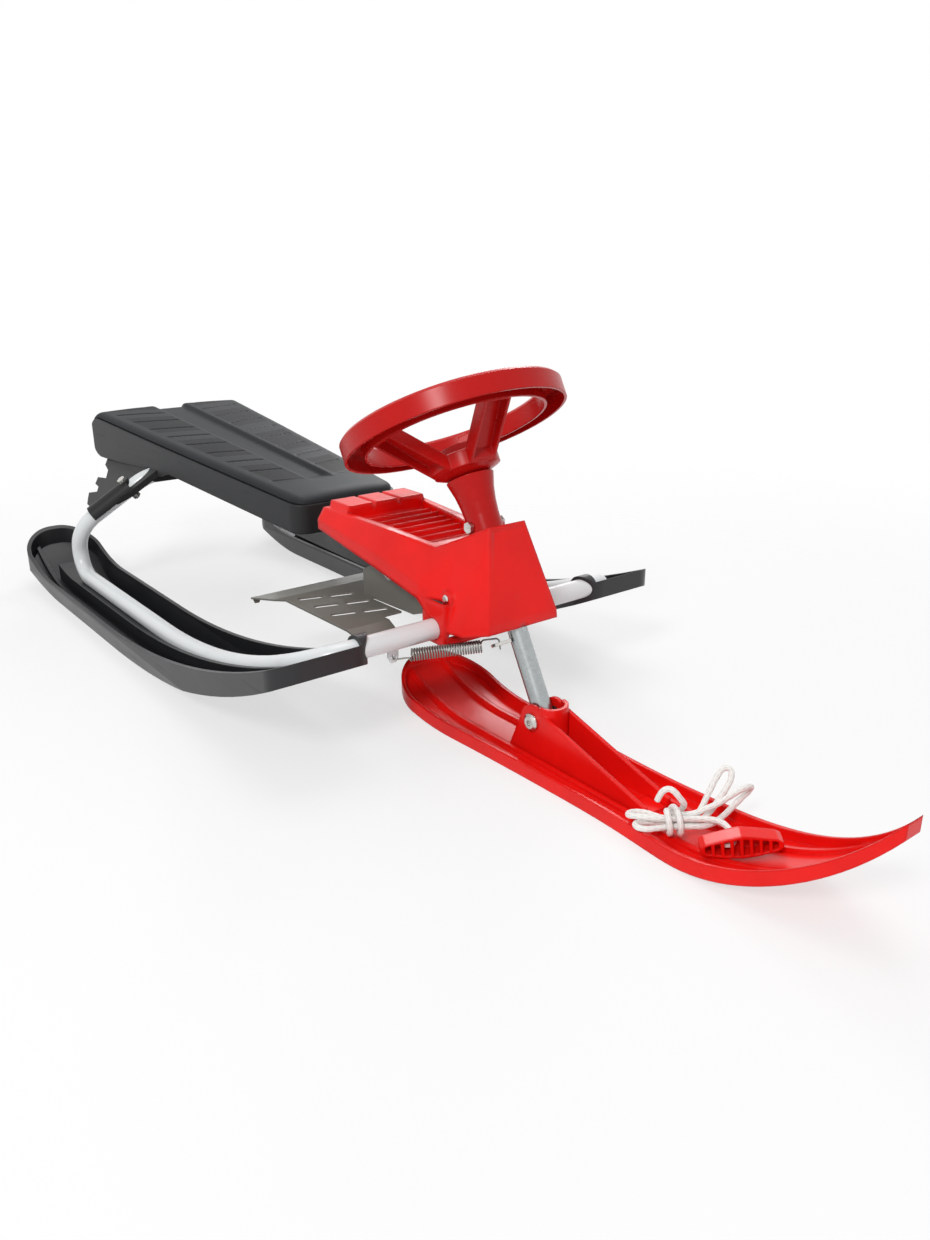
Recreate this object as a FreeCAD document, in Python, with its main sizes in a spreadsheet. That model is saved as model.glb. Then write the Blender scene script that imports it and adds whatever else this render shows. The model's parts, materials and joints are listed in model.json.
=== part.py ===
"""Steering sled with two rear skis, a steered front ski, a padded seat and a foot brake.

Frame: +X forward, +Y to the rider's left, +Z up, origin on the ground under the middle of
the sled. Lengths are millimetres, angles degrees.
"""
import FreeCAD, Part
import Sketcher
import math
import os
import re

from FreeCAD import Placement, Rotation, Vector

# Driving dimensions: alias, value, meaning
SIZES = (
    ("seat_gap", 0.15, "gap between pieces that are seated on each other"),
    ("free_gap", 0.4, "gap between pieces of different moving bodies"),
    ("run_gap", 0.05, "radial running clearance of a shaft in its hole"),
    ("overrun", 6, "how far a cutting shape reaches past what it cuts"),
    ("tube_dia", 20, "frame tube, outer diameter"),
    ("tube_wall", 1.5, "frame tube, wall"),
    ("crossbar_x", 154, "crossbar axis, forward"),
    ("crossbar_z", 112, "crossbar axis, height"),
    ("track_half", 184, "rear ski centre line from the middle plane"),
    ("tube_on_ski_z", 34, "frame tube axis above the ground along the ski"),
    ("rise_x", -40, "corner where the tube turns up towards the crossbar"),
    ("rise_radius", 800, "bend radius there"),
    ("corner_radius", 44, "bend radius from the ski into the crossbar"),
    ("heel_x", -490, "corner where the tube leaves the ski at the rear"),
    ("heel_radius", 30, "bend radius there"),
    ("knee_x", -460, "outer knee of the rear leg, forward"),
    ("knee_z", 100, "outer knee of the rear leg, height"),
    ("knee_radius", 55, "bend radius of the knee and the shoulder"),
    ("shoulder_x", -425, "shoulder of the rear leg, forward"),
    ("shoulder_y", 100, "shoulder of the rear leg, from the middle plane"),
    ("shoulder_z", 164, "shoulder of the rear leg, height"),
    ("tail_x", -418, "tube end under the seat, forward"),
    ("tail_z", 171, "tube end under the seat, height"),
    ("ski_rear_x", -600, "rear ski, rear end"),
    ("ski_flat_rear_x", -470, "rear ski, rear end of the flat sole"),
    ("ski_flat_front_x", -270, "rear ski, front end of the flat sole"),
    ("ski_front_x", 168, "rear ski, front end"),
    ("ski_width", 100, "rear ski, width"),
    ("ski_shift", 4, "rear ski, its centre line inside the frame tube's"),
    ("ski_flare", 9, "rear ski, how far its sides lean in from the lip down to the sole"),
    ("ski_lip", 3, "rear ski, upright lip along its rim"),
    ("ski_sole", 5, "rear ski, sole thickness"),
    ("ski_wall", 5, "rear ski, side wall thickness"),
    ("ski_rim", 30, "rear ski, rim height above the ground"),
    ("ski_rear_rise", 46, "rear ski, sole height at the rear end"),
    ("ski_rear_rim", 26, "rear ski, rim above the sole at the rear end"),
    ("ski_front_rise", 102, "rear ski, sole height at the front end"),
    ("ski_front_rim", 19, "rear ski, rim above the sole at the front end"),
    ("ski_rear_round", 46, "rear ski, corner radius at the rear in plan"),
    ("ski_front_round", 22, "rear ski, corner radius at the front in plan"),
    ("bed_width", 30, "raised bed under the frame tube, width"),
    ("bed_rear_x", -530, "raised bed, rear end"),
    ("bed_drop", 3, "raised bed, below the rim"),
    ("ski_rib_offset", 27, "ribs on the rear ski, from its centre line"),
    ("ski_rib_width", 5, "ribs on the skis, width"),
    ("ski_rib_height", 6, "ribs on the skis, height above the floor"),
    ("clip_length", 14, "collar that holds the tube at the ski's front end, along the crossbar"),
    ("clip_wall", 3.5, "collar, wall round the tube"),
    ("ski_screw_dia", 5, "screw that holds the ski to the tube, shank"),
    ("ski_screw_head", 10, "ski screw, head diameter"),
    ("ski_screw_head_high", 3, "ski screw, head height"),
    ("ski_screw_sink", 0.6, "ski screw, how far the head lies inside the sole"),
    ("ski_screw_front_x", -285, "front ski screw"),
    ("ski_screw_rear_x", -405, "rear ski screw"),
    ("saddle_wall", 4, "saddle of the seat bracket over the leg, wall"),
    ("saddle_length", 62, "saddle, length along the leg"),
    ("fin_thick", 8, "toothed fin of the seat bracket, thickness"),
    ("fin_face", 5, "outer face of the fin, above the axis of the leg"),
    ("fin_place", 55, "middle of the fin, along the leg from its lower corner"),
    ("fin_tall", 60, "fin, height along the leg"),
    ("fin_depth", 127, "fin, reach behind the leg at its top"),
    ("bracket_head_rear_x", -530, "seat bracket head under the seat, rear end"),
    ("bracket_head_long", 120, "seat bracket head under the seat, length"),
    ("bracket_head_inner", 63, "seat bracket head, inner side from the middle plane"),
    ("bracket_head_low", 157, "seat bracket head, underside"),
    ("bracket_bolt_place", 83, "bolt through the leg, from the leg's lower corner"),
    ("bracket_bolt_dia", 6, "bolt through the bracket and the leg"),
    ("bracket_bolt_head", 10, "head and nut of that bolt, across flats"),
    ("bracket_bolt_head_high", 4, "head and nut height of that bolt"),
    ("seat_front_x", -82, "seat, front end"),
    ("seat_rear_x", -598, "seat, rear end"),
    ("seat_front_half", 66, "seat, half width at the front"),
    ("seat_rear_half", 110, "seat, half width at the rear"),
    ("seat_front_z", 183, "seat shell, top edge at the front"),
    ("seat_rear_z", 223, "seat shell, top edge at the rear"),
    ("seat_depth", 32, "seat shell, depth"),
    ("seat_waist_x", -395, "seat, end of its wide and deep rear part"),
    ("seat_waist_half", 94, "seat, half width there"),
    ("seat_rear_low", 167, "seat shell, lower edge of the deep rear part"),
    ("seat_step", 22, "seat shell, slope at the front of the deep part, length"),
    ("seat_nose", 29, "seat shell, length of its rounded rear end"),
    ("seat_wall", 3, "seat shell, wall"),
    ("seat_front_round", 18, "seat, corner radius at the front in plan"),
    ("seat_rear_round", 7, "seat, corner radius at the rear in plan"),
    ("pad_inset", 3, "seat pad, set back from the shell's edge"),
    ("pad_rear_inset", 12, "seat pad, set back from the shell's rounded rear end"),
    ("pad_edge", 3, "seat pad, thickness at its edge"),
    ("pad_crown", 12, "seat pad, thickness at the crown of each half"),
    ("pad_channel_half", 23, "channel along the middle of the pad, half width at the rear"),
    ("pad_channel_floor", 3.5, "pad thickness in the channel"),
    ("pad_roll", 26, "length over which the pad rolls down at its ends"),
    ("beam_half", 33, "spine beam, half width"),
    ("beam_wall", 3, "spine beam, wall"),
    ("beam_front_x", 160, "spine beam, front end"),
    ("beam_front_low", 126, "spine beam, bottom at the front"),
    ("beam_front_top", 156, "spine beam, top at the front"),
    ("beam_kink_x", -240, "spine beam, where its bottom turns up"),
    ("beam_kink_low", 134, "spine beam, bottom at the kink"),
    ("beam_rear_x", -436, "spine beam, rear end"),
    ("beam_rear_deep", 14, "spine beam, depth at the rear end"),
    ("pivot_x", 244, "front ski pivot, forward"),
    ("pivot_z", 46, "front ski pivot, height"),
    ("rake", 28.7, "steering column, lean to the rear from upright, degrees"),
    ("column_dia", 19, "steering tube, outer diameter"),
    ("column_wall", 1.8, "steering tube, wall"),
    ("pivot_drop", 8, "pivot bolt, below that point along the column"),
    ("column_foot", 22, "steering tube, end below the pivot"),
    ("housing_start", 104, "column housing, lower end above the pivot along the column"),
    ("housing_length", 60, "column housing, length"),
    ("housing_dia", 28, "column housing, outer diameter"),
    ("housing_wall", 2, "column housing, wall"),
    ("bush_flange", 3, "column bush, flange thickness"),
    ("bush_length", 18, "column bush, length inside the housing"),
    ("collar_high", 6, "thrust collar under the lower bush, height"),
    ("collar_dia", 24, "thrust collar, outer diameter"),
    ("gusset_half", 18, "gusset between crossbar and housing, half thickness"),
    ("gusset_back", 12, "gusset, reach behind the crossbar axis"),
    ("gusset_tall", 26, "gusset, height along the column"),
    ("strap_thick", 3, "cross strap that carries the console cover, thickness"),
    ("strap_tall", 13, "cross strap, height"),
    ("strap_inset", 11, "cross strap, its ends inside the cover's side"),
    ("boss_proud", 1.5, "console screw boss, its face outside the cover's side"),
    ("column_room", 2.4, "room round the steering tube in the console cover, on the diameter"),
    ("strap_s", 123, "cross strap, middle above the pivot along the column"),
    ("cone_length", 58, "red column cone, length"),
    ("cone_neck_dia", 33, "column cone, diameter at the neck"),
    ("cone_top_dia", 46, "column cone, diameter at the top"),
    ("cone_bolt_dia", 6, "cross bolt through the cone"),
    ("cone_bolt_head", 10, "cross bolt, head and nut across flats"),
    ("cone_bolt_head_high", 4, "cross bolt, head and nut height"),
    ("cone_bolt_rise", 12, "cross bolt, height above the foot of the cone"),
    ("wheel_rise", 64, "rim top above the underside of the hub, along the column"),
    ("rim_dia", 217, "steering wheel rim, outer diameter"),
    ("rim_width", 22, "rim, radial width"),
    ("rim_depth", 20, "rim, depth"),
    ("rim_wall", 2.6, "rim, wall of its channel section"),
    ("hub_dia", 64, "wheel hub, diameter"),
    ("hub_high", 22, "wheel hub, height"),
    ("hub_top", 5, "wheel hub, thickness of its top plate"),
    ("spoke_width", 27, "spoke, width"),
    ("spoke_deep", 15, "spoke, depth along the column"),
    ("spoke_wall", 2.6, "spoke, wall of its channel section"),
    ("spoke_axis", 132.5, "direction of the single spoke, degrees from forward towards the left"),
    ("spoke_spread", 40.5, "half angle between the spoke pair opposite to it, degrees"),
    ("wheel_bolt_dia", 8, "bolt that holds the wheel"),
    ("wheel_bolt_head", 13, "wheel bolt, head across flats"),
    ("wheel_bolt_head_high", 5, "wheel bolt, head height"),
    ("plug_length", 24, "threaded plug in the top of the steering tube"),
    ("cap_dia", 44, "hub cap, diameter"),
    ("cap_high", 8, "hub cap, height"),
    ("cap_wall", 1.8, "hub cap, wall"),
    ("tab_s", 69, "spring tab, height above the pivot along the column"),
    ("tab_thick", 3, "spring tab, thickness"),
    ("tab_width", 14, "spring tab, width"),
    ("tab_reach", 20, "spring tab, hole from the column axis"),
    ("tab_hole", 5, "holes for the spring's hooks"),
    ("anchor_y", 104, "spring anchor on the crossbar, from the middle plane"),
    ("anchor_drop", 17, "spring anchor hole, below the crossbar axis"),
    ("anchor_thick", 2.5, "spring anchor, thickness"),
    ("anchor_wide", 11, "spring anchor, width"),
    ("spring_wire", 1.6, "return spring, wire"),
    ("spring_dia", 12.4, "return spring, outer diameter of the coil"),
    ("spring_pitch", 2.4, "return spring, pitch"),
    ("spring_turns", 27, "return spring, turns"),
    ("console_gap", 40, "console cover, its rear end in front of the seat"),
    ("console_nose", 62, "console cover, its front end in front of the crossbar axis"),
    ("console_tall", 113, "console cover, height above its skirt's lower edge"),
    ("console_half", 64, "console cover, greatest half width"),
    ("console_wall", 3, "console cover, wall"),
    ("deck_depth", 9, "console deck, depth below the rims"),
    ("deck_rim", 8, "console deck, width of the rims"),
    ("deck_front_x", 118, "console deck, front end"),
    ("slat_count", 7, "louvre slats on the deck"),
    ("slat_thick", 4, "louvre slat, thickness"),
    ("slat_high", 5, "louvre slat, height"),
    ("grip_front_x", -6, "grip block, front face"),
    ("grip_top_z", 196, "grip block, top"),
    ("grip_groove", 5, "grooves between the grip pads, width"),
    ("grip_groove_deep", 6, "grooves between the grip pads, depth"),
    ("skirt_low", 98, "console skirt round the crossbar, lower edge"),
    ("skirt_long", 34, "console skirt, length"),
    ("skirt_half", 58, "console skirt, half width"),
    ("console_screw_dia", 4, "console screw, shank"),
    ("console_screw_head", 8, "console screw, head diameter"),
    ("console_screw_head_high", 2.2, "console screw, head height"),
    ("brake_pin_x", 58, "brake hinge pin, forward"),
    ("brake_pin_z", 139, "brake hinge pin, height"),
    ("brake_pin_dia", 8, "brake hinge pin, diameter"),
    ("brake_sheet", 2, "brake plate, sheet thickness"),
    ("brake_half", 118, "brake plate, half width"),
    ("brake_flap_half", 126, "brake plate, half width of the toothed flap"),
    ("brake_rear_x", -86, "brake plate, toothed rear edge"),
    ("brake_rear_z", 90, "brake plate, height of the toothed edge"),
    ("brake_bend_x", -30, "brake plate, bend line"),
    ("brake_bend_z", 103, "brake plate, height at the bend line"),
    ("brake_front_x", 98, "brake plate, front bend"),
    ("brake_front_z", 106, "brake plate, height at the front bend"),
    ("brake_lip", 14, "brake plate, turned-down front lip, length"),
    ("brake_lip_drop", 7, "brake plate, drop of the front lip"),
    ("brake_ear_y", 41, "brake ears, middle of the sheet from the middle plane"),
    ("brake_notch_x", 30, "brake plate, rear end of the notch between ear and tread"),
    ("brake_tread_inner", 47, "brake tread, inner edge beside the ear"),
    ("brake_lip_inner", 70, "brake tread, inner end of the front lip"),
    ("brake_inner_front_x", 86, "brake tread, front edge inside the lip"),
    ("brake_slot_long", 26, "tread slot, length"),
    ("brake_slot_wide", 8, "tread slot, width"),
    ("brake_tooth", 5, "brake teeth, depth"),
    ("clip_dia", 14, "retaining washer on the brake pin, diameter"),
    ("clip_thick", 1.2, "retaining washer, thickness"),
    ("front_rear_x", 54, "front ski, rear end"),
    ("front_flat_rear_x", 165, "front ski, rear end of the flat sole"),
    ("front_flat_front_x", 428, "front ski, front end of the flat sole"),
    ("front_nose_x", 600, "front ski, nose"),
    ("front_rear_rise", 30, "front ski, sole height at the rear end"),
    ("front_nose_rise", 88, "front ski, sole height at the nose"),
    ("front_sole", 4, "front ski, sole thickness"),
    ("front_wall", 4, "front ski, side wall thickness"),
    ("front_rim", 13, "front ski, rim height above the ground"),
    ("front_tail_half", 52, "front ski, half width at the tail"),
    ("front_waist_half", 42, "front ski, half width at the waist"),
    ("front_shovel_half", 45, "front ski, half width at the shovel"),
    ("front_shovel_x", 470, "front ski, widest place of the shovel"),
    ("front_tip_half", 9, "front ski, half width of the blunt nose"),
    ("front_rib_high", 4, "ribs on the front ski, height above the floor"),
    ("front_rib_offset", 21, "ribs on the front ski, from the middle plane"),
    ("tower_gap_half", 12, "tower, inside half width between its cheeks"),
    ("tower_cheek", 4, "tower, cheek thickness"),
    ("tower_round", 16, "tower, radius round the pivot bolt"),
    ("tower_rear_x", 216, "tower, rear foot"),
    ("tower_front_x", 388, "tower, front foot"),
    ("tower_cup_x", 256, "tower, middle of the round wall in front of the column"),
    ("tower_cup_top", 56, "tower, top of the round wall"),
    ("pad_plate_long", 22, "square plate, length"),
    ("pad_plate_high", 3, "square plate, height above the floor"),
    ("pivot_bolt_dia", 8, "pivot bolt, shank"),
    ("pivot_bolt_head", 17, "pivot bolt, head diameter"),
    ("pivot_bolt_head_high", 4, "pivot bolt, head height"),
    ("pivot_socket", 5, "pivot bolt, hex socket across flats"),
    ("pivot_nut_flats", 13, "pivot nut, across flats"),
    ("pivot_nut_high", 6.5, "pivot nut, height"),
    ("pivot_bush_dia", 16, "spacer bush beside the steering tube, diameter"),
    ("rope_dia", 5, "tow rope, diameter"),
    ("handle_long", 62, "rope handle, length"),
    ("handle_wide", 20, "rope handle, width at the middle"),
    ("handle_thick", 15, "rope handle, thickness"),
    ("handle_wall", 2.6, "rope handle, wall round its windows"),
    ("handle_windows", 8, "windows along the rope handle"),
    ("handle_x", 476, "rope handle, middle, forward"),
    ("handle_y", -7, "rope handle, middle, from the middle plane"),
    ("handle_z", 23, "rope handle, middle, height"),
    ("handle_turn", 47.6, "rope handle, direction from forward, degrees"),
    ("handle_tilt", 8, "rope handle, rise of its far end, degrees"),
)

doc = FreeCAD.newDocument("steering_sled")
sheet = doc.addObject("Spreadsheet::Sheet", "sizes")
for row, (alias, value, meaning) in enumerate(SIZES, start=1):
    sheet.set(f"A{row}", meaning)
    sheet.set(f"B{row}", str(value))
    sheet.setAlias(f"B{row}", alias)
doc.recompute()

ALIASES = {alias for alias, _, _ in SIZES}
AXIS_X = Vector(1, 0, 0)
AXIS_Y = Vector(0, 1, 0)
AXIS_Z = Vector(0, 0, 1)
ORIGIN = Vector(0, 0, 0)


def expr(text):
    """Write a formula in aliases as an expression over the sheet."""
    words = re.sub(r"[a-z_]+", lambda m: f"sizes.{m[0]}" if m[0] in ALIASES else m[0], text)
    return words


def val(text):
    """Work out a formula in aliases."""
    return float(sheet.evalExpression(expr(text)))


nodes = []


def keep(thing, label):
    """Name a finished sub-part and list it for writing."""
    thing.Label = label
    nodes.append(thing)
    return thing


def feature(label, shape):
    """Keep a shape that is made with Part's functions."""
    thing = doc.addObject("Part::Feature", label)
    thing.Shape = shape
    return keep(thing, label)


# Sketches and bodies
def body_of(name, placement=None):
    """Start a body, placed in the sled's frame."""
    body = doc.addObject("PartDesign::Body", name + "_body")
    if placement is not None:
        body.Placement = placement
    return body


def sketch_on(body, role, turn=0, lift=0):
    """Attach a sketch to an origin plane of the body, turned about its upright axis and lifted."""
    plane = next(f for f in body.Origin.OriginFeatures if f.Role == role)
    sketch = body.newObject("Sketcher::SketchObject", "outline")
    sketch.AttachmentSupport = [(plane, "")]
    sketch.MapMode = "FlatFace"
    sketch.AttachmentOffset = Placement(Vector(0, 0, lift), Rotation(AXIS_Y, turn))
    return sketch


def fix_point(sketch, geometry, spot, x, y):
    """Place a sketch point by two formulas measured from the sketch's origin."""
    for kind, axis, text in (("DistanceX", -2, x), ("DistanceY", -1, y)):
        if text == "0":
            sketch.addConstraint(Sketcher.Constraint("PointOnObject", geometry, spot, axis))
            continue
        number = sketch.addConstraint(Sketcher.Constraint(kind, -1, 1, geometry, spot, val(text)))
        sketch.setExpression(f"Constraints[{number}]", expr(text))


def polygon(sketch, corners):
    """Draw a closed polygon whose corners are pairs of formulas."""
    points = [Vector(val(x), val(y), 0) for x, y in corners]
    first = sketch.GeometryCount
    count = len(points)
    for i in range(count):
        sketch.addGeometry(Part.LineSegment(points[i], points[(i + 1) % count]))
    for i in range(count):
        sketch.addConstraint(
            Sketcher.Constraint("Coincident", first + i, 2, first + (i + 1) % count, 1))
    for i, (x, y) in enumerate(corners):
        fix_point(sketch, first + i, 1, x, y)


def circle(sketch, x, y, radius):
    """Draw a circle by three formulas."""
    centre = Vector(val(x), val(y), 0)
    number = sketch.addGeometry(Part.Circle(centre, AXIS_Z, val(radius)))
    fix_point(sketch, number, 3, x, y)
    mark = sketch.addConstraint(Sketcher.Constraint("Radius", number, val(radius)))
    sketch.setExpression(f"Constraints[{mark}]", expr(radius))


def slab(body, sketch, length, kind="Pad", both=True, back=False):
    """Pad or pocket a sketch by a formula."""
    step = body.newObject("PartDesign::" + kind, kind.lower())
    step.Profile = sketch
    step.SideType = "Symmetric" if both else "One side"
    step.Reversed = back
    step.setExpression("Length", expr(length))
    return step


def spin(body, corners, kind="Revolution"):
    """Turn a polygon of radius and height round the body's Z axis."""
    sketch = sketch_on(body, "XZ_Plane")
    polygon(sketch, corners)
    step = body.newObject("PartDesign::" + kind, kind.lower())
    step.Profile = sketch
    step.ReferenceAxis = (sketch, ["V_Axis"])
    step.Angle = 360
    return step


def turned(label, corners, placement=None):
    """Keep a turned piece."""
    body = body_of(label, placement)
    spin(body, corners)
    return keep(body, label)


def hexagon(sketch, flats):
    """Draw a hexagon about the sketch's origin, given its size across flats."""
    far = f"{flats} / 2 / cos(30)"
    half = f"{flats} / 4 / cos(30)"
    up = f"{flats} / 2"
    polygon(sketch, ((far, "0"), (half, up), ("-" + half, up), ("-" + far, "0"),
                     ("-" + half, "-" + up), (half, "-" + up)))


def screw(name, placement, shank, reach, flats, high):
    """Make a hex bolt whose head stands on its own XY plane and whose shank points down."""
    body = body_of(name, placement)
    head = sketch_on(body, "XY_Plane")
    hexagon(head, flats)
    slab(body, head, high, both=False)
    stem = sketch_on(body, "XY_Plane")
    circle(stem, "0", "0", f"{shank} / 2")
    slab(body, stem, reach, both=False, back=True)
    return body


def nut(name, placement, bore, flats, high):
    """Make a hex nut that stands on its own XY plane, bored through."""
    body = body_of(name, placement)
    head = sketch_on(body, "XY_Plane")
    hexagon(head, flats)
    circle(head, "0", "0", f"{bore} / 2 + seat_gap")
    slab(body, head, high, both=False)
    return body


def mirrored(thing):
    """Mirror a piece to the other side of the middle plane."""
    other = doc.addObject("Part::Mirroring", thing.Name + "_mirror")
    other.Source = thing
    other.Normal = AXIS_Y
    return other


def grouped(label, members):
    """Keep several alike solids as one node."""
    group = doc.addObject("Part::Compound", label)
    group.Links = members
    return keep(group, label)


def drum(radius, height, placement):
    """Make a cylinder object along its own Z axis, with bound radius and height."""
    thing = doc.addObject("Part::Cylinder", "drum")
    thing.setExpression("Radius", expr(radius))
    thing.setExpression("Height", expr(height))
    thing.Placement = placement
    return thing


def brick(x, y, z, placement):
    """Make a box object with bound sides."""
    thing = doc.addObject("Part::Box", "brick")
    thing.setExpression("Length", expr(x))
    thing.setExpression("Width", expr(y))
    thing.setExpression("Height", expr(z))
    thing.Placement = placement
    return thing


def less(base, *tools):
    """Cut tools off a piece, one after the other."""
    for tool in tools:
        cut = doc.addObject("Part::Cut", "cut")
        cut.Base = base
        cut.Tool = tool
        base = cut
    return base


# Shapes from Part's own functions
def loop(points):
    """Join points into a closed wire."""
    return Part.makePolygon(list(points) + [points[0]])


def prism(points, way):
    """Extrude a closed polygon."""
    return Part.Face(loop(points)).extrude(way)


def block(x0, x1, y0, y1, z0, z1):
    """Make a box between two corners."""
    return Part.makeBox(x1 - x0, y1 - y0, z1 - z0, Vector(x0, y0, z0))


def rounded_plan(x0, x1, half0, half1, round0, round1, tall):
    """Make a straight-sided plan, rounded at its corners, with half widths at both ends."""
    shape = prism((Vector(x0, -half0), Vector(x1, -half1), Vector(x1, half1), Vector(x0, half0)),
                  Vector(0, 0, tall))
    upright = [e for e in shape.Edges if abs(e.tangentAt(e.FirstParameter).z) > 1 / 2]
    rear = [e for e in upright if e.CenterOfMass.x < (x0 + x1) / 2]
    front = [e for e in upright if e.CenterOfMass.x > (x0 + x1) / 2]
    return shape.makeFillet(round0, rear).makeFillet(round1, front) if round1 else \
        shape.makeFillet(round0, rear)


def rocker(x0, z0, x1, z1):
    """Draw an arc in the XZ plane that leaves (x0, z0) level and ends at (x1, z1)."""
    turn = 2 * math.atan2(z1 - z0, abs(x1 - x0))
    radius = abs(x1 - x0) / math.sin(turn)
    way = 1 if x1 > x0 else -1
    middle = Vector(x0 + way * radius * math.sin(turn / 2), 0, z0 + radius * (1 - math.cos(turn / 2)))
    return Part.Arc(Vector(x0, 0, z0), middle, Vector(x1, 0, z1)).toShape()


def rockered(flat0, flat1, rear, front, lift0, lift1):
    """Make a side face between two curves, each level in the middle and rising at both ends.

    rear and front are (x, lower rise, upper rise); lift0 and lift1 are the heights of the level
    stretches.
    """
    x0, low0, top0 = rear
    x1, low1, top1 = front
    edges = [rocker(flat0, lift0, x0, low0),
             Part.makeLine(Vector(flat0, 0, lift0), Vector(flat1, 0, lift0)),
             rocker(flat1, lift0, x1, low1),
             Part.makeLine(Vector(x1, 0, low1), Vector(x1, 0, top1)),
             rocker(flat1, lift1, x1, top1),
             Part.makeLine(Vector(flat1, 0, lift1), Vector(flat0, 0, lift1)),
             rocker(flat0, lift1, x0, top0),
             Part.makeLine(Vector(x0, 0, top0), Vector(x0, 0, low0))]
    return Part.Face(Part.Wire(Part.__sortEdges__(edges)))


def bent(points, radii):
    """Join points by straight runs and tangent arcs of the given radii."""
    edges = []
    last = points[0]
    for before, corner, after, radius in zip(points, points[1:], points[2:], radii):
        into = (corner - before).normalize()
        out = (after - corner).normalize()
        turn = into.getAngle(out)
        back = radius * math.tan(turn / 2)
        start = corner - into * back
        end = corner + out * back
        inward = (out - into).normalize()
        middle = corner + inward * (radius / math.cos(turn / 2) - radius)
        edges.append(Part.makeLine(last, start))
        edges.append(Part.Arc(start, middle, end).toShape())
        last = end
    edges.append(Part.makeLine(last, points[-1]))
    return Part.Wire(edges)


def tube_on(wire, diameter):
    """Make a round bar along a wire of straight runs and arcs, run by run."""
    runs = []
    for edge in wire.OrderedEdges:
        start = edge.valueAt(edge.FirstParameter)
        way = edge.tangentAt(edge.FirstParameter)
        disc = Part.Face(Part.Wire(Part.makeCircle(diameter / 2, start, way)))
        if isinstance(edge.Curve, Part.Circle):
            turn = math.degrees(edge.LastParameter - edge.FirstParameter)
            runs.append(disc.revolve(edge.Curve.Center, edge.Curve.Axis, turn))
        else:
            runs.append(disc.extrude(way * edge.Length))
    return runs[0].fuse(runs[1:]).removeSplitter()


def wire_on(path, diameter):
    """Sweep a round section along a path as one pipe."""
    edge = path.OrderedEdges[0]
    ring = Part.makeCircle(diameter / 2, edge.valueAt(edge.FirstParameter),
                           edge.tangentAt(edge.FirstParameter))
    return path.makePipeShell([Part.Wire(ring)], True, False)


def rod(start, way, length, diameter):
    """Make a cylinder from a point along a direction."""
    return Part.makeCylinder(diameter / 2, length, start, way)


def biarc(p0, t0, p1, t1):
    """Join two points by two arcs that take up both tangents."""
    v = p1 - p0
    t = t0 + t1
    a = 2 * (1 - t0.dot(t1))
    b = v.dot(t)
    reach = (math.sqrt(b * b + a * v.dot(v)) - b) / a
    joint = (p0 + p1 + (t0 - t1) * reach) / 2
    edges = []
    for start, way, end in ((p0, t0, joint), (joint, None, p1)):
        chord = end - start
        along = Vector(chord).normalize()
        if way is None:
            way = along * (2 * along.dot(t1)) - t1
        side = way - along * way.dot(along)
        lean = way.getAngle(along)
        bulge = Vector(side).normalize() * (chord.Length / 2 * math.tan(lean / 2))
        edges.append(Part.Arc(start, (start + end) / 2 + bulge, end).toShape())
    return edges


def self_gap(wire, diameter):
    """Measure the least gap between stretches of a tube that aren't neighbours along it."""
    count = int(wire.Length / diameter * 2) + 2
    points = wire.discretize(Number=count)
    step = wire.Length / (count - 1)
    skip = int(math.pi * diameter / step) + 1
    least = min((points[i] - points[j]).Length
                for i in range(count) for j in range(i + skip, count))
    return least - diameter


# Places that several pieces share
def column_frame(along=0):
    """Place a piece on the steering column: Z up the column, X forward, from a height on it."""
    lean = Rotation(AXIS_Y, -val("rake"))
    foot = Vector(val("pivot_x"), 0, val("pivot_z"))
    return Placement(foot + lean.multVec(Vector(0, 0, along)), lean)


def on_column(x, y, z):
    """Give the sled's coordinates of a point that is measured on the column."""
    return column_frame().multVec(Vector(x, y, z))


def across(x, y, z):
    """Place a piece with its Z axis to the left."""
    return Placement(Vector(x, y, z), Rotation(AXIS_X, -90))


def seat_top(x):
    """Height of the seat shell's top edge at a place along the sled."""
    share = (x - val("seat_front_x")) / (val("seat_rear_x") - val("seat_front_x"))
    return val("seat_front_z") + share * (val("seat_rear_z") - val("seat_front_z"))


def seat_lines(x):
    """Half widths that the lines of the seat's wide rear and of its tapered front give at a place."""
    run = x - val("seat_waist_x")
    rear_slope = val("(seat_rear_half - seat_waist_half) / (seat_rear_x - seat_waist_x)")
    front_slope = val("(seat_front_half - seat_waist_half) / (seat_front_x - seat_waist_x)")
    return val("seat_waist_half") + run * rear_slope, val("seat_waist_half") + run * front_slope


def seat_half(x):
    """Half width of the seat at a place along the sled."""
    return min(seat_lines(x))


crossbar = Vector(val("crossbar_x"), 0, val("crossbar_z"))
crossbar_on_column = column_frame().inverse().multVec(crossbar)
gap = val("seat_gap")
free = val("free_gap")
over = val("overrun")

# Frame tube
track = val("track_half")
knee = Vector(val("knee_x"), -track, val("knee_z"))
shoulder = Vector(val("shoulder_x"), -val("shoulder_y"), val("shoulder_z"))
right_half = (
    Vector(val("tail_x"), -val("beam_half") / 2, val("tail_z")),
    shoulder,
    knee,
    Vector(val("heel_x"), -track, val("tube_on_ski_z")),
    Vector(val("rise_x"), -track, val("tube_on_ski_z")),
    Vector(val("crossbar_x"), -track, val("crossbar_z")),
)
right_radii = [val(name) for name in
               ("knee_radius", "knee_radius", "heel_radius", "rise_radius", "corner_radius")]
left_half = [Vector(p.x, -p.y, p.z) for p in reversed(right_half)]
tube_path = bent(list(right_half) + left_half, right_radii + right_radii[::-1])
print("frame tube length", round(tube_path.Length, 1))
beam_half = val("beam_half")
leg_way = (shoulder - knee).normalize()
leg_back = (-AXIS_X + leg_way * leg_way.x).normalize()
leg_side = leg_way.cross(leg_back)
leg_bolt = knee + leg_way * val("bracket_bolt_place")
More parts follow.
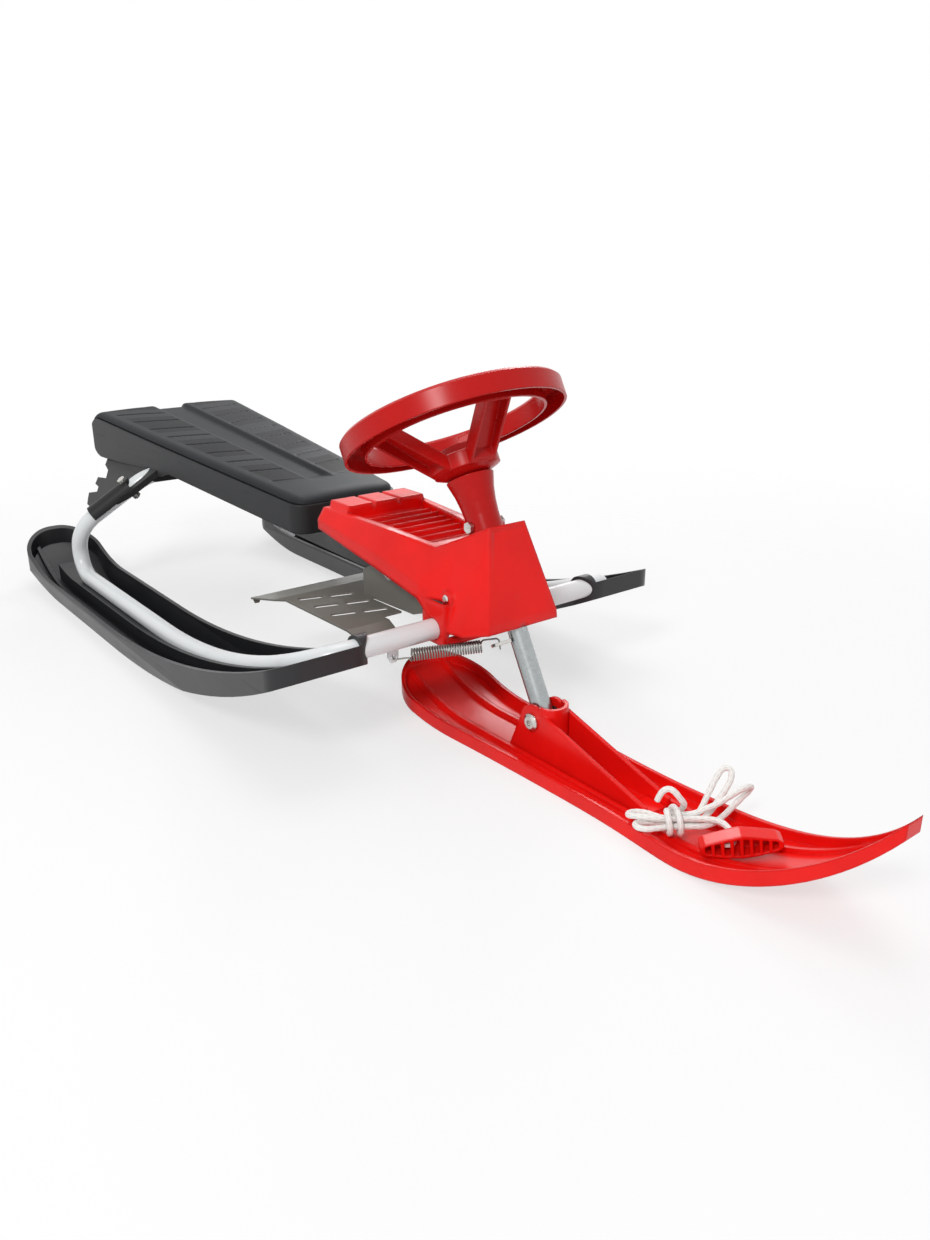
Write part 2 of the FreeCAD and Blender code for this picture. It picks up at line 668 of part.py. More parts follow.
saddle_out = val("tube_dia / 2 + saddle_wall")
bolt_frame = Placement(leg_bolt + leg_side * (saddle_out + gap), Rotation(AXIS_Z, leg_side))
nut_frame = Placement(leg_bolt - leg_side * (val("tube_dia / 2") + gap), Rotation(AXIS_Z, -leg_side))

screw_xs = (val("ski_screw_front_x"), val("ski_screw_rear_x"))
screw_axis_y = (-track, track)

tube = tube_on(tube_path, val("tube_dia")).cut(tube_on(tube_path, val("tube_dia - 2 * tube_wall")))
beam_room = block(val("beam_rear_x") - over, val("tail_x") + val("tube_dia"), -beam_half - gap,
                  beam_half + gap, val("tail_z - tube_dia"), val("tail_z + tube_dia"))
tube = tube.cut(beam_room)
for x in screw_xs:
    for y in screw_axis_y:
        tube = tube.cut(rod(Vector(x, y, 0), AXIS_Z, val("tube_on_ski_z"),
                            val("ski_screw_dia") + 2 * gap))
for sign in (-1, 1):
    middle = Vector(leg_bolt.x, -sign * leg_bolt.y, leg_bolt.z)
    side = Vector(leg_side.x, -sign * leg_side.y, leg_side.z)
    tube = tube.cut(rod(middle - side * saddle_out, side, 2 * saddle_out,
                        val("bracket_bolt_dia") + 2 * gap))
feature("frame_tube", tube)

# Rear skis
ski_half = val("ski_width / 2")


def ski_face(lift, rim_lift):
    """Side face of a rear ski between its sole, raised by lift, and its rim, raised by rim_lift."""
    low0 = val("ski_rear_rise")
    low1 = val("ski_front_rise")
    return rockered(val("ski_flat_rear_x"), val("ski_flat_front_x"),
                    (val("ski_rear_x"), low0 + lift, low0 + val("ski_rear_rim") + rim_lift),
                    (val("ski_front_x"), low1 + lift, low1 + val("ski_front_rim") + rim_lift),
                    lift, val("ski_rim") + rim_lift)


def ski_band(face, y, half):
    """Give a side face a width about a line beside the middle plane."""
    return face.translated(Vector(0, y - half, 0)).extrude(Vector(0, 2 * half, 0))


def flared(shape, inset):
    """Lean a ski's sides inwards from its lip down to its sole."""
    high = val("ski_rim - ski_lip")
    slope = val("ski_flare") / high
    for side in (-1, 1):
        lip = ski_line + side * (ski_half - inset)
        out, low = lip + side * over * slope, lip - side * val("ski_flare") - side * over * slope
        far = lip + side * ski_half
        shape = shape.cut(prism([Vector(val("ski_rear_x") - over, y, z) for y, z in
                                 ((out, high + over), (low, -over), (far, -over), (far, high + over))],
                                Vector(val("ski_front_x - ski_rear_x") + 2 * over, 0, 0)))
    return shape


tall = val("crossbar_z + tube_dia * 2")
wall = val("ski_wall")
ski_line = val("ski_shift") - track
plan_front = val("ski_front_x") - gap
plan = rounded_plan(val("ski_rear_x"), plan_front, ski_half, ski_half, val("ski_rear_round"),
                    val("ski_front_round"), tall)
inner_plan = rounded_plan(val("ski_rear_x") + wall, plan_front - wall, ski_half - wall, ski_half - wall,
                          val("ski_rear_round") - wall, val("ski_front_round") - wall, tall)
plan.translate(Vector(0, ski_line, 0))
inner_plan.translate(Vector(0, ski_line, 0))
hull = flared(ski_band(ski_face(0, 0), ski_line, ski_half).common(plan), 0)
tray = ski_band(ski_face(val("ski_sole"), val("crossbar_z")), ski_line, ski_half).common(inner_plan)
ski = hull.cut(flared(tray, wall))
bed = ski_band(ski_face(val("ski_sole / 2"), -val("bed_drop")), -track, val("bed_width / 2"))
bed = bed.common(block(val("bed_rear_x"), val("ski_front_x") - wall / 2, ski_line - ski_half,
                       ski_line + ski_half, 0, tall))
pieces = [bed]
rib_low = ski_face(val("ski_sole / 2"), 0)
rib_roof = ski_face(val("ski_sole + ski_rib_height"), val("crossbar_z"))
for side in (-1, 1):
    line = ski_line + side * val("ski_rib_offset")
    rib = ski_band(rib_low, line, val("ski_rib_width / 2"))
    rib = rib.cut(ski_band(rib_roof, line, val("ski_rib_width")))
    pieces.append(rib.common(inner_plan))
collar_end = Vector(val("crossbar_x"), ski_line + ski_half - val("clip_length"), val("crossbar_z"))
pieces.append(rod(collar_end, AXIS_Y, val("clip_length"), val("tube_dia + 2 * clip_wall")).common(plan))
ski = ski.fuse(pieces).removeSplitter()
ski = ski.cut(tube_on(tube_path, val("tube_dia") + 2 * gap))
for x in screw_xs:
    foot = Vector(x, -track, 0)
    sunk = val("ski_screw_sink + ski_screw_head_high") + gap
    ski = ski.cut(rod(foot, AXIS_Z, val("tube_on_ski_z"), val("ski_screw_dia") + 2 * gap))
    ski = ski.cut(rod(foot, AXIS_Z, sunk, val("ski_screw_head") + 2 * gap))
right_ski = feature("rear_ski_right", ski)
keep(mirrored(right_ski), "rear_ski_left")

# Screws that hold the skis to the tube, heads sunk in the soles
screws = []
for x in screw_xs:
    stem = body_of("ski_screw", Placement(Vector(x, -track, val("ski_screw_sink")), Rotation()))
    spin(stem, (("0", "0"), ("ski_screw_head / 2", "0"),
                ("ski_screw_head / 2", "ski_screw_head_high"),
                ("ski_screw_dia / 2", "ski_screw_head_high"),
                ("ski_screw_dia / 2", "tube_on_ski_z - tube_dia / 2 + 3 * tube_wall"),
                ("0", "tube_on_ski_z - tube_dia / 2 + 3 * tube_wall")))
    screws += [stem, mirrored(stem)]
grouped("ski_screws", screws)


# Seat shell: a shallow tapered box, open below, deeper and rounded at its rear, with cross ribs
SEAT_RIB_SHARES = (0.1, 0.3, 0.5, 0.7, 0.9)
seat_front = val("seat_front_x")
seat_rear = val("seat_rear_x")
seat_wall = val("seat_wall")
seat_tall = val("seat_rear_z + overrun")
head_rear = val("bracket_head_rear_x")
head_front = val("bracket_head_rear_x + bracket_head_long")
head_inner = val("bracket_head_inner")


def under_seat(x):
    """Height just under the seat's ribs and posts."""
    return seat_top(x) - val("seat_depth") - gap


def seat_slice(x0, x1, from_top):
    """Side face between two places, from the line of the ribs up to a depth under the seat's top."""
    deep = val("seat_depth")
    return Part.Face(loop([Vector(x0, 0, seat_top(x0) - deep), Vector(x1, 0, seat_top(x1) - deep),
                           Vector(x1, 0, seat_top(x1) - from_top),
                           Vector(x0, 0, seat_top(x0) - from_top)]))


def seat_side(inset, lift):
    """Side face of the shell, inset by its wall at the top and the ends, its lower edge lifted."""
    rear = seat_rear + inset
    front = seat_front - inset
    bend = seat_rear + val("seat_nose")
    low = val("seat_rear_low") + lift
    step = val("seat_waist_x + seat_step")
    deep = val("seat_depth") - lift
    top = Vector(bend, 0, seat_top(bend) - inset)
    under = Vector(bend, 0, low)
    outline = [Vector(val("seat_waist_x"), 0, low), Vector(step, 0, seat_top(step) - deep),
               Vector(front, 0, seat_top(front) - deep), Vector(front, 0, seat_top(front) - inset), top]
    edges = [Part.makeLine(p, q) for p, q in zip([under] + outline, outline)]
    edges.append(Part.Arc(top, Vector(rear, 0, (top.z + low) / 2), under).toShape())
    return Part.Face(Part.Wire(edges))


def seat_plan(inset):
    """Plan of the shell: the wide rear part and the tapered front part, inset by a wall."""
    rear_ends, front_ends = zip(seat_lines(seat_rear), seat_lines(seat_front))
    plans = [rounded_plan(seat_rear + inset, seat_front - inset, at_rear - inset, at_front - inset,
                          val("seat_rear_round") - inset, val("seat_front_round") - inset, seat_tall)
             for at_rear, at_front in (rear_ends, front_ends)]
    return plans[0].common(plans[1])


def seat_band(face):
    """Give a side face the full width of the seat."""
    half = val("seat_rear_half")
    return face.translated(Vector(0, -half, 0)).extrude(Vector(0, 2 * half, 0))


shell = seat_band(seat_side(0, 0)).common(seat_plan(0))
hollow = seat_band(seat_side(seat_wall, -over)).common(seat_plan(seat_wall))
ribs = []
for share in SEAT_RIB_SHARES:
    x = seat_rear + share * (seat_front - seat_rear)
    ribs.append(seat_band(seat_slice(x - seat_wall / 2, x + seat_wall / 2, seat_wall / 2)))
for sign in (-1, 1):
    post = seat_band(seat_slice(head_rear + gap, head_front - gap, seat_wall / 2))
    y0, y1 = sorted((sign * head_inner, sign * val("seat_rear_half")))
    ribs.append(post.common(block(head_rear, head_front, y0, y1, 0, seat_tall)))
inside = seat_band(seat_side(seat_wall / 2, 0)).common(seat_plan(seat_wall / 2))
seat_shell = shell.cut(hollow).fuse([rib.common(inside) for rib in ribs]).removeSplitter()
seat_shell = seat_shell.cut(tube_on(tube_path, val("tube_dia") + 4 * free))
feature("seat_base", seat_shell)

# Seat brackets: a toothed fin beside the rear leg, a saddle over it and a head under the seat
FIN_SHARES = ((1, 0.45), (1, 0.225), (0.874, 0.108), (0.693, 0.138), (0.543, 0.035), (0.712, -0.148),
              (0.609, -0.257), (0.522, -0.173), (0.394, -0.265), (0.514, -0.463), (0.407, -0.52),
              (0.287, -0.573), (0, -0.373), (-0.154, 0.475), (-0.145, 1.24))
fin_thick = leg_side * val("fin_thick")
fin_root = knee + leg_way * val("fin_place") + leg_side * val("fin_face") - fin_thick
fin = prism([fin_root + leg_back * (u * val("fin_depth")) + leg_way * (v * val("fin_tall"))
             for u, v in FIN_SHARES], fin_thick)
saddle_low = knee + leg_way * val("fin_place - saddle_length / 2")
saddle = rod(saddle_low, leg_way, val("saddle_length"), 2 * saddle_out)
saddle = saddle.common(prism([saddle_low + leg_back * (sign * saddle_out) + leg_way * along
                              for sign, along in ((-1, 0), (1, 0), (1, val("saddle_length")),
                                                  (-1, val("saddle_length")))], leg_side * saddle_out))
spot = rod(leg_bolt, leg_side, saddle_out, val("bracket_bolt_head") * 3 / 2)
shell_low = val("seat_rear_low") - gap
outer_rear, outer_front = (seat_half(x) for x in (head_rear, head_front))
inner_rear, inner_front = (seat_half(x) - seat_wall - 2 * gap for x in (head_rear, head_front))
ledge = prism([Vector(head_rear, -outer_rear, val("bracket_head_low")),
               Vector(head_front, -outer_front, val("bracket_head_low")),
               Vector(head_front, -head_inner, val("bracket_head_low")),
               Vector(head_rear, -head_inner, val("bracket_head_low"))],
              AXIS_Z * (shell_low - val("bracket_head_low")))
head_foot = shell_low - over
head = prism([Vector(head_rear, -inner_rear, head_foot), Vector(head_front, -inner_front, head_foot),
              Vector(head_front, -head_inner, head_foot), Vector(head_rear, -head_inner, head_foot)],
             AXIS_Z * seat_tall)
under = seat_band(Part.Face(loop([Vector(head_rear, 0, 0), Vector(head_front, 0, 0),
                                  Vector(head_front, 0, under_seat(head_front)),
                                  Vector(head_rear, 0, under_seat(head_rear))])))
bracket = saddle.fuse([fin, spot, ledge, head.common(under)]).removeSplitter()
bracket = bracket.cut(tube_on(tube_path, val("tube_dia") + 2 * gap))
wall_room = seat_band(seat_side(-gap, -gap)).common(seat_plan(-gap))
wall_room = wall_room.cut(seat_band(seat_side(seat_wall + gap, -over)).common(seat_plan(seat_wall + gap)))
bracket = bracket.cut(wall_room)
bracket = bracket.cut(rod(leg_bolt - leg_side * saddle_out, leg_side, 2 * saddle_out + over,
                          val("bracket_bolt_dia") + 2 * gap))
right_bracket = feature("seat_bracket_right", bracket)
keep(mirrored(right_bracket), "seat_bracket_left")
bracket_bolt = screw("bracket_bolt", Placement(bolt_frame), "bracket_bolt_dia",
                     "tube_dia + saddle_wall + bracket_bolt_head_high * 3 / 2",
                     "bracket_bolt_head", "bracket_bolt_head_high")
grouped("bracket_bolts", [bracket_bolt, mirrored(bracket_bolt)])
bracket_nut = nut("bracket_nut", Placement(nut_frame), "bracket_bolt_dia", "bracket_bolt_head",
                  "bracket_bolt_head_high")
grouped("bracket_nuts", [bracket_nut, mirrored(bracket_nut)])

# Seat pad: two crowned halves with a channel between them, rolled down at both ends
PAD_END_SHARES = ((0, 0.9, 0.35), (0.45, 0.97, 0.8), (1, 1, 1))
pad_slope = math.atan2(val("seat_rear_z - seat_front_z"), val("seat_front_x - seat_rear_x"))
pad_rear = seat_rear + val("pad_rear_inset")
pad_long = seat_front - val("pad_inset") - pad_rear


def pad_section(along, width_share, height_share):
    """Draw a cross-section of the pad, square to its length."""
    half = (seat_half(pad_rear + along) - val("pad_inset")) * width_share
    edge = val("pad_edge") * height_share
    crown = val("pad_crown") * height_share
    floor = val("pad_channel_floor") * height_share
    lane = val("pad_channel_half") * half / val("seat_rear_half")
    peak = (half + lane) / 2

    def at(y, z):
        return Vector(along / math.cos(pad_slope), y, z)

    def bow(p, q, r):
        return Part.Arc(p, q, r).toShape()

    return Part.Wire([
        Part.makeLine(at(half, 0), at(half, edge)),
        bow(at(half, edge), at(peak, crown), at(lane, floor + (crown - floor) / 2)),
        bow(at(lane, floor + (crown - floor) / 2), at(0, floor), at(-lane, floor + (crown - floor) / 2)),
        bow(at(-lane, floor + (crown - floor) / 2), at(-peak, crown), at(-half, edge)),
        Part.makeLine(at(-half, edge), at(-half, 0)),
        Part.makeLine(at(-half, 0), at(half, 0)),
    ])


roll = val("pad_roll")
stations = [(share * roll, w, h) for share, w, h in PAD_END_SHARES]
stations += [(pad_long - share * roll, w, h) for share, w, h in reversed(PAD_END_SHARES)]
pad = Part.makeLoft([pad_section(*s) for s in stations], True, True)
pad_piece = feature("seat_pad", pad)
pad_piece.Placement = Placement(Vector(pad_rear, 0, seat_top(pad_rear) + gap),
                                Rotation(AXIS_Y, math.degrees(pad_slope)))

# Column gusset: a block that grips the crossbar and the column housing
gusset_rear = crossbar_on_column.x - val("gusset_back")
gusset_low = crossbar_on_column.z - val("gusset_tall / 2")


def gusset_block(grow):
    """Make the gusset's outer block, grown on all sides."""
    corner = Vector(gusset_rear - grow, -val("gusset_half") - grow, gusset_low - grow)
    return brick(f"{2 * grow - gusset_rear}", f"gusset_half * 2 + {2 * grow}", f"gusset_tall + {2 * grow}",
                 column_frame() * Placement(corner, Rotation()))


housing_hole = drum("housing_dia / 2 + seat_gap", "housing_start + housing_length", column_frame())
bar_hole = drum("tube_dia / 2 + seat_gap", "track_half", across(crossbar.x, -track / 2, crossbar.z))
gusset = keep(less(gusset_block(0), housing_hole, bar_hole), "column_gusset")

# Spine beam: an inverted channel from the gusset back under the seat
beam = body_of("spine_beam")
seat_slope_front = "seat_front_z - seat_depth - seat_gap"
rear_share = "(beam_rear_x - seat_front_x) / (seat_rear_x - seat_front_x)"
beam_rear_top = f"(seat_front_z + {rear_share} * (seat_rear_z - seat_front_z) - seat_depth - seat_gap)"
side = sketch_on(beam, "XZ_Plane")
polygon(side, (("beam_front_x", "beam_front_low"), ("beam_front_x", "beam_front_top"),
               ("seat_front_x", seat_slope_front), ("beam_rear_x", beam_rear_top),
               ("beam_rear_x", beam_rear_top + " - beam_rear_deep"),
               ("beam_kink_x", "beam_kink_low")))
slab(beam, side, "beam_half * 2")
inside = sketch_on(beam, "XZ_Plane")
polygon(inside, (("beam_front_x + overrun", "beam_front_low - overrun"),
                 ("beam_front_x + overrun", "beam_front_top - beam_wall"),
                 ("seat_front_x", seat_slope_front + " - beam_wall"),
                 ("beam_rear_x + beam_wall", beam_rear_top + " - beam_wall"),
                 ("beam_rear_x + beam_wall", beam_rear_top + " - beam_rear_deep - overrun"),
                 ("beam_kink_x", "beam_kink_low - overrun")))
slab(beam, inside, "(beam_half - beam_wall) * 2", kind="Pocket")
bore = sketch_on(beam, "XZ_Plane")
circle(bore, "brake_pin_x", "brake_pin_z", "brake_pin_dia / 2 + seat_gap")
slab(beam, bore, "beam_half * 2 + overrun", kind="Pocket")
keep(less(beam, gusset_block(gap)), "spine_beam")

# Column housing with its two flanged bushes and the thrust collar under them
housing_top = "housing_start + housing_length"
turned("column_housing", (("housing_dia / 2 - housing_wall", "housing_start"),
                          ("housing_dia / 2", "housing_start"), ("housing_dia / 2", housing_top),
                          ("housing_dia / 2 - housing_wall", housing_top)), column_frame())
bush_in = "column_dia / 2 + run_gap"
bush_out = "housing_dia / 2 - housing_wall - seat_gap"


def bush_outline(end, way):
    """Outline of a flanged bush at one end of the housing; way is the side of its flange."""
    face = f"{end} {way} seat_gap"
    return ((bush_in, f"{face} {way} bush_flange"), ("housing_dia / 2", f"{face} {way} bush_flange"),
            ("housing_dia / 2", face), (bush_out, face),
            (bush_out, f"{end} {'-' if way == '+' else '+'} bush_length"),
            (bush_in, f"{end} {'-' if way == '+' else '+'} bush_length"))


turned("lower_bush", bush_outline("housing_start", "-"), column_frame())
turned("upper_bush", bush_outline("housing_start + housing_length", "+"), column_frame())
collar_top = "housing_start - seat_gap - bush_flange - free_gap"
turned("thrust_collar", (("column_dia / 2 + seat_gap", collar_top + " - collar_high"),
                         ("collar_dia / 2", collar_top + " - collar_high"),
                         ("collar_dia / 2", collar_top),
                         ("column_dia / 2 + seat_gap", collar_top)), column_frame())


# Console cover: a ruled shell from the grip block forward to the column tower
# Rows: place along the cover, three heights (lower edge, side, top) and three half widths
CONSOLE_SHARES = (
    (0, 0.619, 0.708, 0.814, 1, 1, 0.875),
    (0.395, 0.460, 0.584, 0.788, 0.969, 0.938, 0.75),
    (0.667, 0.336, 0.460, 0.743, 0.938, 0.89, 0.594),
    (0.783, 0.124, 0.372, 0.867, 0.906, 0.79, 0.46),
    (0.899, 0.124, 0.327, 1, 0.812, 0.72, 0.33),
    (1, 0.186, 0.23, 0.265, 0.65, 0.64, 0.63),
)
DECK_ROWS = 3
console_rear = val("seat_front_x + console_gap")
console_long = val("crossbar_x + console_nose") - console_rear
shell_wall = val("console_wall")
deck_sink = val("deck_depth") + shell_wall


def console_row(number, inset):
    """Cross-section of the cover; inset by its wall it is also lowered under the deck."""
    share, *rest = CONSOLE_SHARES[number]
    x = console_rear + share * console_long
    low, middle, top = (val("skirt_low") + r * val("console_tall") for r in rest[:3])
    halves = [r * val("console_half") for r in rest[3:]]
    if inset:
        x += shell_wall if number == 0 else 0
        x -= shell_wall if number == len(CONSOLE_SHARES) - 1 else 0
        low -= over
        middle = min(middle, top - deck_sink - shell_wall) if number < DECK_ROWS else middle
        top -= deck_sink if number < DECK_ROWS else shell_wall
        halves = [h - shell_wall for h in halves]
    right = [Vector(x, -h, z) for h, z in zip(halves, (low, middle, top))]
    left = [Vector(x, h, z) for h, z in zip(halves, (low, middle, top))]
    return loop(right + left[::-1])


def console_top(x):
    """Height of the cover's upper edge at a place along the deck."""
    share = (x - console_rear) / console_long
    rows = CONSOLE_SHARES[:DECK_ROWS]
    for (s0, _, _, t0, *_), (s1, _, _, t1, *_) in zip(rows, rows[1:]):
        if share <= s1:
            break
    return val("skirt_low") + (t0 + (t1 - t0) * (share - s0) / (s1 - s0)) * val("console_tall")


def console_half_top(x):
    """Half width of the cover's upper edge at a place along the deck."""
    share = (x - console_rear) / console_long
    rows = CONSOLE_SHARES[:DECK_ROWS]
    for row0, row1 in zip(rows, rows[1:]):
        if share <= row1[0]:
            break
    part = (share - row0[0]) / (row1[0] - row0[0])
    return (row0[6] + (row1[6] - row0[6]) * part) * val("console_half")


def console_half_at(x, z):
    """Half width of the cover's side at a place along it and a height on it."""
    share = (x - console_rear) / console_long
    for row0, row1 in zip(CONSOLE_SHARES, CONSOLE_SHARES[1:]):
        if share <= row1[0]:
            break
    part = (share - row0[0]) / (row1[0] - row0[0])
    low, middle, top, *halves = [a + (b - a) * part for a, b in zip(row0[1:], row1[1:])]
    height = (z - val("skirt_low")) / val("console_tall")
    start = 0 if height < middle else 1
    below, above = ((low, middle), (middle, top))[start]
    rise = (height - below) / (above - below)
    return (halves[start] + (halves[start + 1] - halves[start]) * rise) * val("console_half")


# Cross strap behind the housing, with an ear at each end for the console screws
strap_x = -val("housing_dia / 2") - gap - val("strap_thick")
strap_low = val("strap_s - strap_tall / 2")
strap_ear = val("strap_tall")
screw_spot = Vector(strap_x - strap_ear / 2, 0, val("strap_s"))
screw_at = column_frame().multVec(screw_spot)
cover_side = console_half_at(screw_at.x, screw_at.z)
strap_half = cover_side - val("strap_inset")
boss_face = cover_side + val("boss_proud")
bar = block(strap_x, strap_x + val("strap_thick"), -strap_half, strap_half, strap_low,
            strap_low + val("strap_tall"))
ears = []
for sign in (-1, 1):
    y0, y1 = sorted((sign * strap_half, sign * (strap_half - val("strap_thick"))))
    ears.append(block(strap_x - strap_ear, strap_x, y0, y1, strap_low, strap_low + val("strap_tall")))
strap = bar.fuse(ears).removeSplitter()
strap = strap.cut(rod(screw_spot - AXIS_Y * (strap_half + over), AXIS_Y, 2 * (strap_half + over),
                      val("console_screw_dia") + 2 * gap))
feature("console_strap", strap).Placement = column_frame()

# Cover with its skirt and grip block
rows = range(len(CONSOLE_SHARES))
skin = Part.makeLoft([console_row(i, False) for i in rows], True, True)
core = Part.makeLoft([console_row(i, True) for i in rows], True, True)
skirt_x = val("crossbar_x - skirt_long / 2")
skirt_half = val("skirt_half")
SKIRT_TOP_SHARE = 0.36
skirt_top = val("skirt_low") + SKIRT_TOP_SHARE * val("console_tall")
skirt = block(skirt_x, skirt_x + val("skirt_long"), -skirt_half, skirt_half, val("skirt_low"), skirt_top)
skirt_core = block(skirt_x + shell_wall, skirt_x + val("skirt_long") - shell_wall,
                   shell_wall - skirt_half, skirt_half - shell_wall, val("skirt_low") - over, skirt_top)
grip_rear = console_rear
grip_front = val("grip_front_x")
GRIP_HALF_SHARES = (0.81, 0.73)
grip_base = console_top(grip_front) - val("deck_depth")
grip_low, grip_high = (share * val("console_half") for share in GRIP_HALF_SHARES)
grip = prism([Vector(grip_rear, -grip_low, grip_base), Vector(grip_rear, -grip_high, val("grip_top_z")),
              Vector(grip_rear, grip_high, val("grip_top_z")), Vector(grip_rear, grip_low, grip_base)],
             Vector(grip_front - grip_rear, 0, 0))
cover = skin.fuse([skirt, grip]).cut(core).cut(skirt_core)

# Recessed deck with louvre slats between the grip block and the tower
deck_front = val("deck_front_x")
deck_rim = val("deck_rim")
deck_low = [console_top(x) - val("deck_depth") for x in (grip_front, deck_front)]
deck_high = max(console_top(x) for x in (grip_front, deck_front)) + over
recess = Part.makeLoft([
    loop([Vector(x, -h, z), Vector(x, h, z), Vector(x, h, deck_high), Vector(x, -h, deck_high)])
    for x, z, h in zip((grip_front, deck_front), deck_low,
                       (console_half_top(x) - deck_rim for x in (grip_front, deck_front)))], True, True)
cover = cover.cut(recess)
slats = []
slat_count = int(val("slat_count"))
for i in range(slat_count):
    x = grip_front + (deck_front - grip_front) * (i + 1) / (slat_count + 1)
    z = console_top(x) - val("deck_depth")
    half = console_half_top(x) - deck_rim + shell_wall / 2
    lean = val("slat_thick")
    foot = z - shell_wall / 2
    tip = z + val("slat_high")
    slats.append(prism([Vector(x - lean / 2, -half, foot), Vector(x + lean / 2, -half, foot),
                        Vector(x + lean, -half, tip), Vector(x + lean / 2, -half, tip)],
                       Vector(0, 2 * half, 0)))
GRIP_GROOVE_SHARE = 1 / 3
for sign in (-1, 1):
    y = sign * GRIP_GROOVE_SHARE * grip_high
    w = val("grip_groove / 2")
    top = val("grip_top_z")
    cover = cover.cut(prism([Vector(grip_rear - over, y - w, top), Vector(grip_rear - over, y + w, top),
                             Vector(grip_rear - over, y, top - val("grip_groove_deep"))],
                            Vector(grip_front - grip_rear + 2 * over, 0, 0)))

# Legs under the deck that stand on the spine beam, and bosses for the two console screws
LEG_PLACE_SHARE = 0.62
LEG_END_SHARES = (0.1, 0.5)
legs = []
for sign in (-1, 1):
    y = sign * LEG_PLACE_SHARE * beam_half
    x0, x1 = (console_rear + s * console_long for s in LEG_END_SHARES)
    foot0, foot1 = (val("beam_front_top") + gap + (val("beam_front_x") - x)
                    / val("beam_front_x - seat_front_x")
                    * val("seat_front_z - seat_depth - beam_front_top") for x in (x0, x1))
    roof0, roof1 = (console_top(x) - val("deck_depth") - shell_wall / 2 for x in (x0, x1))
    legs.append(prism([Vector(x0, y - shell_wall / 2, foot0), Vector(x1, y - shell_wall / 2, foot1),
                       Vector(x1, y - shell_wall / 2, roof1), Vector(x0, y - shell_wall / 2, roof0)],
                      Vector(0, shell_wall, 0)))
for sign in (-1, 1):
    start = Vector(screw_at.x, sign * (strap_half + gap), screw_at.z)
    legs.append(rod(start, AXIS_Y * sign, boss_face - strap_half - gap, val("console_screw_head") * 2))
cover = cover.fuse(slats + legs).removeSplitter()
neck = rod(on_column(0, 0, val("housing_start")), column_frame().Rotation.multVec(AXIS_Z),
           val("housing_length") * 2, val("cone_neck_dia") + 4 * free)
cover = cover.cut(neck)
cover = cover.cut(rod(on_column(0, 0, 0), column_frame().Rotation.multVec(AXIS_Z), val("housing_start"),
                      val("column_dia + column_room")))
for sign in (-1, 1):
    start = Vector(screw_at.x, 0, screw_at.z)
    cover = cover.cut(rod(start, AXIS_Y * sign, val("console_half"), val("console_screw_dia") + 2 * gap))
cover = cover.cut(rod(crossbar - AXIS_Y * track, AXIS_Y, 2 * track, val("tube_dia") + 2 * gap))
beam_box = block(console_rear - over, val("beam_front_x") + gap, -beam_half - gap,
                 beam_half + gap, 0, val("beam_front_top") + gap)
gusset_room = gusset_block(gap)
doc.recompute()
cover = cover.cut(beam_box).cut(gusset_room.Shape)
feature("console_cover", cover)
stem = body_of("console_screw", Placement(Vector(screw_at.x, -boss_face - gap, screw_at.z),
                                          Rotation(AXIS_X, 90)))
spin(stem, (("0", "0"), ("console_screw_head / 2", "0"),
            ("console_screw_head / 2", "console_screw_head_high / 2"),
            ("console_screw_head / 3", "console_screw_head_high"), ("0", "console_screw_head_high")))
shank = sketch_on(stem, "XY_Plane")
circle(shank, "0", "0", "console_screw_dia / 2")
slab(stem, shank, "console_screw_head * 2", both=False, back=True)
grouped("console_screws", [stem, mirrored(stem)])

# Steering tube with its cross holes, the column cone and the wheel
cone_low = "(housing_start + housing_length + seat_gap + bush_flange + free_gap)"
cone_top = f"({cone_low} + cone_length)"
hub_low = f"({cone_top} + seat_gap)"
hub_high = f"({hub_low} + hub_high)"
tube_end = f"({hub_high} - hub_top - seat_gap)"
column = body_of("steering_tube", column_frame())
spin(column, (("column_dia / 2 - column_wall", "-column_foot"), ("column_dia / 2", "-column_foot"),
              ("column_dia / 2", tube_end), ("column_dia / 2 - column_wall", tube_end)))
for height, hole in (("-pivot_drop", "pivot_bolt_dia / 2 + run_gap"),
                     (f"{cone_low} + cone_bolt_rise", "cone_bolt_dia / 2 + seat_gap")):
    mark = sketch_on(column, "XZ_Plane")
    circle(mark, "0", height, hole)
    slab(column, mark, "column_dia + overrun", kind="Pocket")
keep(column, "steering_tube")

CONE_SHARES = ((0, 0), (0.36, 0), (0.55, 0.12), (0.76, 0.42), (0.93, 0.84), (1, 1))
bore = "column_dia / 2 + seat_gap"
trumpet = [(bore, cone_low)]
for up_share, out_share in CONE_SHARES:
    trumpet.append((f"cone_neck_dia / 2 + (cone_top_dia - cone_neck_dia) / 2 * {out_share}",
                    f"{cone_low} + cone_length * {up_share}"))
trumpet.append((bore, cone_top))
cone = body_of("column_cone", column_frame())
spin(cone, trumpet)
mark = sketch_on(cone, "XZ_Plane")
circle(mark, "0", f"{cone_low} + cone_bolt_rise", "cone_bolt_dia / 2 + seat_gap")
slab(cone, mark, "cone_top_dia + overrun", kind="Pocket")
keep(cone, "column_cone")
cone_bolt_s = val(f"{cone_low} + cone_bolt_rise")
neck_half = val("cone_neck_dia / 2 + seat_gap")
right_way = Rotation(AXIS_X, 90)
left_way = Rotation(AXIS_X, -90)
cone_bolt = screw("cone_bolt", column_frame() * Placement(Vector(0, -neck_half, cone_bolt_s), right_way),
                  "cone_bolt_dia", "cone_neck_dia + cone_bolt_head_high * 3 / 2", "cone_bolt_head",
                  "cone_bolt_head_high")
keep(cone_bolt, "cone_bolt")
cone_nut = nut("cone_nut", column_frame() * Placement(Vector(0, neck_half, cone_bolt_s), left_way),
               "cone_bolt_dia", "cone_bolt_head", "cone_bolt_head_high")
